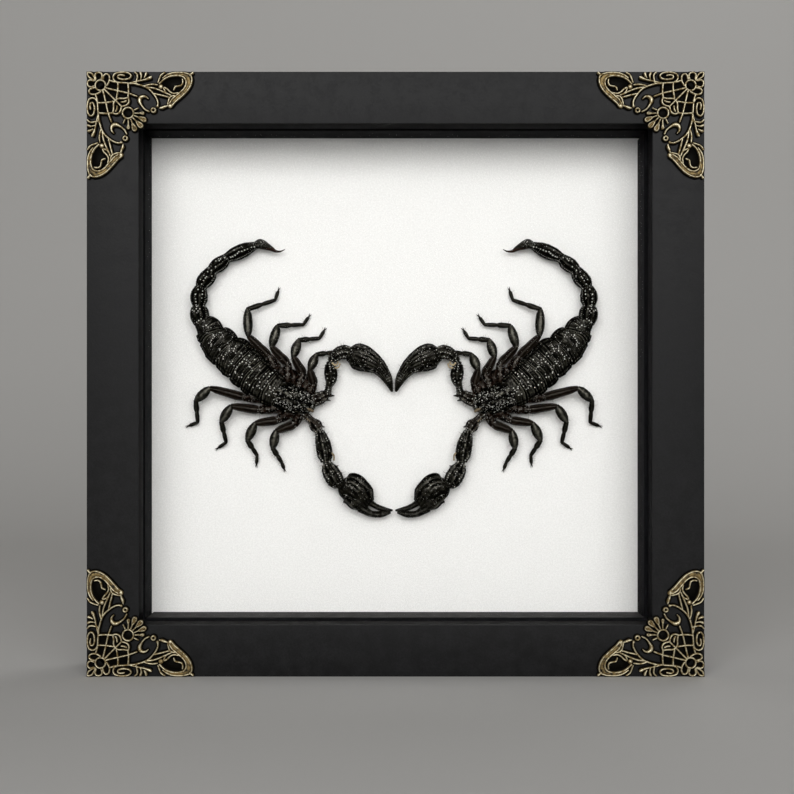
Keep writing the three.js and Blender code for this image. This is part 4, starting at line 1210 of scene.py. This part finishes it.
def ridged(count, height, rough=0.04, swell=0.0):
    # Lengthwise ridges with narrow grooves between them
    def relief(s, angle, points):
        wave = np.cos((angle - math.pi / 2) * count)
        ridge = np.maximum(wave, 0) ** 2 - 1.2 * np.maximum(-wave, 0) ** 3
        return height * ridge + rough * lumps(points, 0.6, 21) + swell
    return relief


legLooks = {
    "coxa": (0.26, ridged(5, 0.16, 0.24, -0.06)),
    "femur": (0.18, ridged(7, 0.18, 0.06, -0.03)),
    "patella": (0.0, ridged(3, 0.13, 0.12, 0.07)),
    "tibia": (0.02, ridged(4, 0.07, 0.06)),
    "ankle": (0.02, ridged(4, 0.06)),
    "foot": (0.05, ridged(4, 0.05)),
}


def legParts():
    parts = []
    for joints in legJoints:
        for name, stations in legSegments.items():
            warm, relief = legLooks[name]
            rows = [legStation(joints, *station) for station in stations]
            limb = skinOver(rows, 0.3, 28, relief, 0.7)
            parts.append(dict(limb, warm=warm))
            if name in ("coxa", "femur"):
                span = limb["length"][-1]
                count = int(span * (4 if name == "coxa" else 1.2))
                s = dice.uniform(0, span, count) if name == "coxa" else dice.uniform(0, 1.5, count)
                turn = dice.uniform(0.4, 2.7, count)
                parts.append(dict(granulesOn(limb, s, turn, dice.uniform(0.1, 0.22, count), 0.35), warm=warm))
        foot = np.array(joints[5])
        way = unit(foot - np.array(joints[4]))
        for turn in (-0.5, 0.5):
            cosine, sine = math.cos(turn), math.sin(turn)
            out = np.array([way[0] * cosine - way[1] * sine, way[0] * sine + way[1] * cosine, 0.0])
            mid, end = foot + out * 0.55, foot + out * 0.9 + way * 0.45
            claw = [[*(foot - way * 0.3), 0.26, 0.26], [*mid, 0.18, 0.18], [*end, 0.05, 0.05]]
            parts.append(skinOver(claw, 0.2, 8))
    return parts


armValues = {"step": 0.22, "around": 48, "warmBase": 0.18, "keelGrains": (-0.02, 0.66, -0.62),
             "spacing": 0.95}


def armRelief(s, angle, points, span, keels=1.0):
    side = np.cos(angle)
    fromEnd = np.minimum(s, span - s)
    collar = 0.24 * bump(fromEnd - 0.75, 0.22) - 0.3 * bump(fromEnd - 0.25, 0.2)
    broken = keels * np.clip(0.75 + 1.2 * lumps(points, 1.8, 30), 0.2, 1)
    lift = keelLines(
        side,
        [(-0.02, 0.1, 0.26), (0.66, 0.1, 0.24), (-0.62, 0.1, 0.24), (0.3, 0.08, 0.12)],
        [(-0.3, 0.12, 0.24), (0.46, 0.07, 0.2), (0.16, 0.06, 0.16), (0.88, 0.05, 0.2), (-0.86, 0.05, 0.2)],
    )
    return lift * broken + collar + 0.17 * lumps(points, 0.9, 31) - 0.03


def armParts():
    parts = []
    for name, stations in armSkins.items():
        keels = 0.35 if name == "upperArm" else 1.0
        span = refine(stations, armValues["step"])[2][-1]
        relief = lambda s, angle, points: armRelief(s, angle, points, span, keels)
        arm = skinOver(stations, armValues["step"], armValues["around"], relief, 0.6)
        warm = armValues["warmBase"] if name.endswith("Base") else 0.0
        parts.append(dict(arm, warm=warm))
        for share in armValues["keelGrains"]:
            s = np.arange(0.3, span, armValues["spacing"])
            s = s[dice.random(len(s)) < 0.6] + dice.normal(0, 0.15)
            turn = math.acos(share) + dice.normal(0, 0.08, len(s))
            parts.append(granulesOn(arm, s, turn, dice.uniform(0.14, 0.28, len(s)), 0.75))
        count = int(span * 2)
        s = dice.uniform(-0.3, span + 0.3, count)
        turn = dice.uniform(0.2, 2.9, count)
        parts.append(granulesOn(arm, s, turn, dice.uniform(0.08, 0.2, count), 0.3))
    for start, stop, half in armSpines:
        stations = [[*start, half, half], [*stop, 0.12, 0.12]]
        parts.append(skinOver(stations, 0.25, 14, lambda s, angle, points: 0.12 * lumps(points, 0.6, 33)))
    return parts


handValues = {
    "step": 0.2, "around": 72, "fingerAround": 36, "ridge": 0.22, "ridgeCount": 3.4,
    "ridgeGrains": (0.78, 0.55, 0.33, 0.1, -0.13, -0.58), "spacing": 1.1,
}


def handRelief(s, angle, points):
    side = np.cos(angle)
    fan = np.clip((s - 1.5) / 4, 0.25, 1) * np.clip(0.75 + 1.1 * lumps(points, 2.0, 40), 0.15, 1)
    wave = np.cos((side - 0.1) * 2 * np.pi * handValues["ridgeCount"])
    ridge = np.maximum(wave, 0) ** 2 - 1.1 * np.maximum(-wave, 0) ** 2
    rough = 0.09 * lumps(points, 0.9, 41) + 0.08 * lumps(points, 1.8, 42)
    rim = -0.35 * bump(side - 0.93, 0.03) - 0.4 * bump(side - 0.64, 0.035) + 0.16 * bump(side - 0.79, 0.09)
    # Painted shade: the bulb side, turned away from the light, is lowered a little so the colour map darkens
    # it
    bulb = -0.1 * np.clip((-side - 0.15) * 2, 0, 1) * np.clip(1.6 - s / 7, 0, 1)
    lift = handValues["ridge"] * ridge * fan + rough + rim + bulb
    return lift * np.clip(np.sin(angle) * 3 + 0.2, 0, 1)


def handParts():
    parts = []
    for name, stations in handSkins.items():
        isFinger = name.endswith("Finger")
        around, relief = handValues["around"], handRelief
        if isFinger:
            around, relief = handValues["fingerAround"], ridged(5, 0.16, 0.05)
        hand = skinOver(stations, handValues["step"], around, relief, 0.6)
        parts.append(hand)
        span = hand["length"][-1]
        count = int(span * (2 if isFinger else 2.5))
        s = dice.beta(1.1, 1.6, count) * span
        radius = dice.uniform(*((0.08, 0.2) if isFinger else (0.1, 0.3)), count)
        if not isFinger:
            radius = radius * (1.15 - s / span * 0.6)
        parts.append(granulesOn(hand, s, dice.uniform(0.1, 3.04, count), radius, 0.22))
        for share in (() if isFinger else handValues["ridgeGrains"]):
            s = np.arange(0.8, span * 0.85, handValues["spacing"])
            s = s[dice.random(len(s)) < 0.3]
            turn = np.full(len(s), math.acos(share)) + dice.normal(0, 0.05, len(s))
            size = dice.uniform(0.14, 0.26, len(s)) * (1.1 - 0.6 * s / span)
            parts.append(granulesOn(hand, s, turn, size, 0.75))
    return parts


jawValues = {"warm": 0.7, "foldHalf": 0.34, "foldWarm": (0.98, 0.98, 0.8, 0.8)}


def jawParts():
    parts = []
    for start, stop, half in jaws:
        middle = [(a + b) / 2 for a, b in zip(start, stop)]
        stations = [[*start, half, half], [*middle, half * 0.95, half], [*stop, half * 0.5, half * 0.5]]
        parts.append(dict(skinOver(stations, 0.25, 20, ridged(4, 0.12, 0.12, -0.05)), warm=jawValues["warm"]))
    half = jawValues["foldHalf"]
    for fold, warm in zip(softJoints, jawValues["foldWarm"]):
        stations = [[*place, half, half] for place in fold]
        joint = skinOver(stations, 0.2, 16, lambda s, angle, points: 0.16 * lumps(points, 0.7, 50))
        parts.append(dict(joint, warm=warm))
    return parts


# Bristles: how many on each arm part, hand, shield and leg part, and their sizes
hairValues = {"arm": 34, "hand": 30, "shield": 16, "leg": 7, "length": (0.9, 2.4), "half": 0.055,
              "spread": 0.3}


def hairParts():
    # Fine bristles on the arms, hands, front shield and legs: three-sided cones
    parts = []
    hosts = [(skinOver(stations, 0.6, 16), hairValues["arm"]) for stations in armSkins.values()]
    for name in ("upperHand", "lowerHand"):
        hosts.append((skinOver(handSkins[name], 0.6, 16), hairValues["hand"]))
    hosts.append((skinOver(frontShield, 0.6, 16), hairValues["shield"]))
    for joints in legJoints:
        for name in ("femur", "patella", "tibia", "foot"):
            rows = [legStation(joints, *station) for station in legSegments[name]]
            hosts.append((skinOver(rows, 0.6, 12), hairValues["leg"]))
    for host, count in hosts:
        s = dice.uniform(0, host["length"][-1], count)
        isOuter = dice.random(count) < 0.5
        angle = np.where(isOuter, dice.normal(0.1, 0.35, count), dice.normal(3.04, 0.35, count))
        roots, normals = onSkin(host, s, angle)
        way = unit(normals + dice.normal(0, hairValues["spread"], roots.shape))
        tips = roots + way * dice.uniform(*hairValues["length"], count)[:, None]
        side = unit(np.cross(way, [0.2, 0.9, 0.4]))
        other = np.cross(way, side)
        turn = np.arange(3) / 3 * 2 * np.pi
        ring = side[:, None] * np.cos(turn)[None, :, None] + other[:, None] * np.sin(turn)[None, :, None]
        base = roots[:, None] + ring * hairValues["half"] - way[:, None] * 0.1
        points = np.concatenate([base, tips[:, None]], axis=1).reshape(-1, 3)
        first = (np.arange(count) * 4)[:, None, None]
        cone = np.array([[0, 1, 3], [1, 2, 3], [2, 0, 3], [2, 1, 0]])[None]
        parts.append({"points": points, "triangles": (cone + first).reshape(-1, 3)})
    return parts


def placedPart(part, mirror):
    # From the specimen's own millimetres to the frame's, for the left or the mirrored right one
    points = part["points"].copy()
    sign = -1 if mirror else 1
    points[:, 0] = pairAxis + sign * points[:, 0]
    points[:, 1] = paperFace + points[:, 1]
    points[:, 2] = middleZ + points[:, 2]
    order = slice(None, None, -1) if mirror else slice(None)
    placed = dict(part, points=points)
    for kind in ("quads", "triangles"):
        if kind in part:
            placed[kind] = np.asarray(part[kind])[:, order]
    return placed


def addScorpions():
    makers = [
        ("back_plates", backParts, blackChitin), ("front_shield", shieldParts, blackChitin),
        ("tail", tailParts, blackChitin), ("legs", legParts, smoothChitin), ("arms", armParts, blackChitin),
        ("hands", handParts, blackChitin), ("jaws", jawParts, smoothChitin),
        ("bristles", hairParts, fineHair),
    ]
    for name, maker, material in makers:
        parts = maker()
        for side in ("left", "right"):
            placed = [placedPart(part, side == "right") for part in parts]
            piece = newPiece(f"scorpion_{side}_{name}", placed, material, ["warm", "paintedGlint", "relief"])
            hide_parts(f"scorpion_{side}")
        print("scorpion", name, sum(len(p.get("quads", ())) * 2 + len(p.get("triangles", ())) for p in parts))


# Back: board, tabs, hanger and nails

def dressNode(name, material, bevel=0.0):
    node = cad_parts[name]
    node.data.materials.clear()
    node.data.materials.append(material)
    if bevel:
        rounding = node.modifiers.new("rounding", "BEVEL")
        rounding.width = bevel * mm
        rounding.segments = 2
        rounding.limit_method = "ANGLE"


# Nail heads: levels as [share of the height, share of the radius]
nailValues = {"around": 28, "levels": [(0.0, 1.0), (0.25, 1.0), (0.6, 0.85), (0.88, 0.55), (1.0, 0.2)],
              "wear": 0.85}


def addNails():
    around, levels = nailValues["around"], nailValues["levels"]
    turns = np.arange(around) / around * 2 * np.pi
    for side in ("left", "right"):
        low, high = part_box(f"hanger_nail_{side}")
        centre = (low + high) / 2 / mm
        radius = (high.x - low.x) / 2 / mm
        flat = low.y / mm
        height = (high.y - low.y) / mm
        points = [[centre.x, flat, centre.z]]
        for share, reach in levels:
            out = radius * reach
            y = flat + height * share
            points += [[centre.x + out * math.cos(t), y, centre.z + out * math.sin(t)] for t in turns]
        points.append([centre.x, high.y / mm, centre.z])
        k = np.arange(around)
        following = (k + 1) % around
        last = 1 + around * (len(levels) - 1)
        base = np.stack([np.zeros(around, int), 1 + k, 1 + following], axis=1)
        top = np.stack([np.full(around, len(points) - 1), last + following, last + k], axis=1)
        part = {
            "points": np.array(points),
            "quads": ringQuads(len(levels), around, 1, turned=True),
            "triangles": np.concatenate([base, top]),
            "height": nailValues["wear"],
        }
        piece = newPiece(f"hanger_nail_{side}_head", [part], antiqueBrass, ["height"])
        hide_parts(f"hanger_nail_{side}")


# Stage: pale floor that sweeps up behind, one big softbox in front and above, a small key light
# and a light for the back

stageValues = {"floor": (0.68, 0.67, 0.65), "world": (1.0, 0.97, 0.92), "worldStrength": 0.06}
lightValues = {
    "softbox": {"at": (0.07, -1.7, 0.83), "turn": 90, "size": (2.9, 1.3), "power": 22.6},
    "key": {"at": (-0.35, -0.95, 0.75), "turn": None, "size": (0.3, 0.25), "power": 0.6},
    "behind": {"at": (0.45, 0.55, 1.25), "turn": None, "size": (0.6, 0.5), "power": 1.5},
}


def addStage():
    rows = [(-1.6, 0.0), (0.5, 0.0), (0.62, 0.02), (0.72, 0.09), (0.78, 0.2), (0.8, 0.35), (0.8, 1.6)]
    points = [(x, y, z) for y, z in rows for x in (-2.2, 2.2)]
    faces = [(2 * i, 2 * i + 1, 2 * i + 3, 2 * i + 2) for i in range(len(rows) - 1)]
    mesh = bpy.data.meshes.new("sweep")
    mesh.from_pydata(points, [], faces)
    mesh.polygons.foreach_set("use_smooth", [True] * len(faces))
    material, _, shader = newMaterial("paleStage")
    shader.inputs["Base Color"].default_value = (*stageValues["floor"], 1)
    shader.inputs["Roughness"].default_value = 0.9
    mesh.materials.append(material)
    sweep = bpy.data.objects.new("sweep", mesh)
    bpy.context.scene.collection.objects.link(sweep)


def addLights():
    world = bpy.data.worlds.new("softRoom")
    bpy.context.scene.world = world
    world.use_nodes = True
    background = world.node_tree.nodes["Background"]
    background.inputs["Color"].default_value = (*stageValues["world"], 1)
    background.inputs["Strength"].default_value = stageValues["worldStrength"]
    target = Vector((0, 0, middleZ * mm))
    for name, values in lightValues.items():
        data = bpy.data.lights.new(name, "AREA")
        data.shape = "ELLIPSE"
        data.size, data.size_y = values["size"]
        data.energy = values["power"]
        light = bpy.data.objects.new(name, data)
        light.location = values["at"]
        light.rotation_euler = (target - light.location).to_track_quat("-Z", "Y").to_euler()
        if values["turn"]:
            light.rotation_euler = (math.radians(values["turn"]), 0, 0)
        bpy.context.scene.collection.objects.link(light)


addCamera()
satinPaint = paintMaterial()
mattLiner = linerMaterial()
antiqueBrass = brassMaterial()
blackChitin = chitinMaterial("granularChitin", (0.22, 0.42))
smoothChitin = chitinMaterial("limbChitin", (0.3, 0.48))
fineHair = hairMaterial()
zinc = zincMaterial()
print("camera and materials made")
addBars()
dressNode("glass_pane", glassMaterial())
dressNode("backdrop_panel", paperMaterial())
dressNode("back_board", boardMaterial(), 0.3)
for number in range(1, 9):
    dressNode(f"tab_{number}", zinc, 0.12)
dressNode("sawtooth_hanger", zinc, 0.12)
addNails()
print("frame, glass and back made")
addOrnaments()
addScorpions()
addStage()
addLights()
bpy.context.scene.view_settings.view_transform = "Standard"
print("stage made")
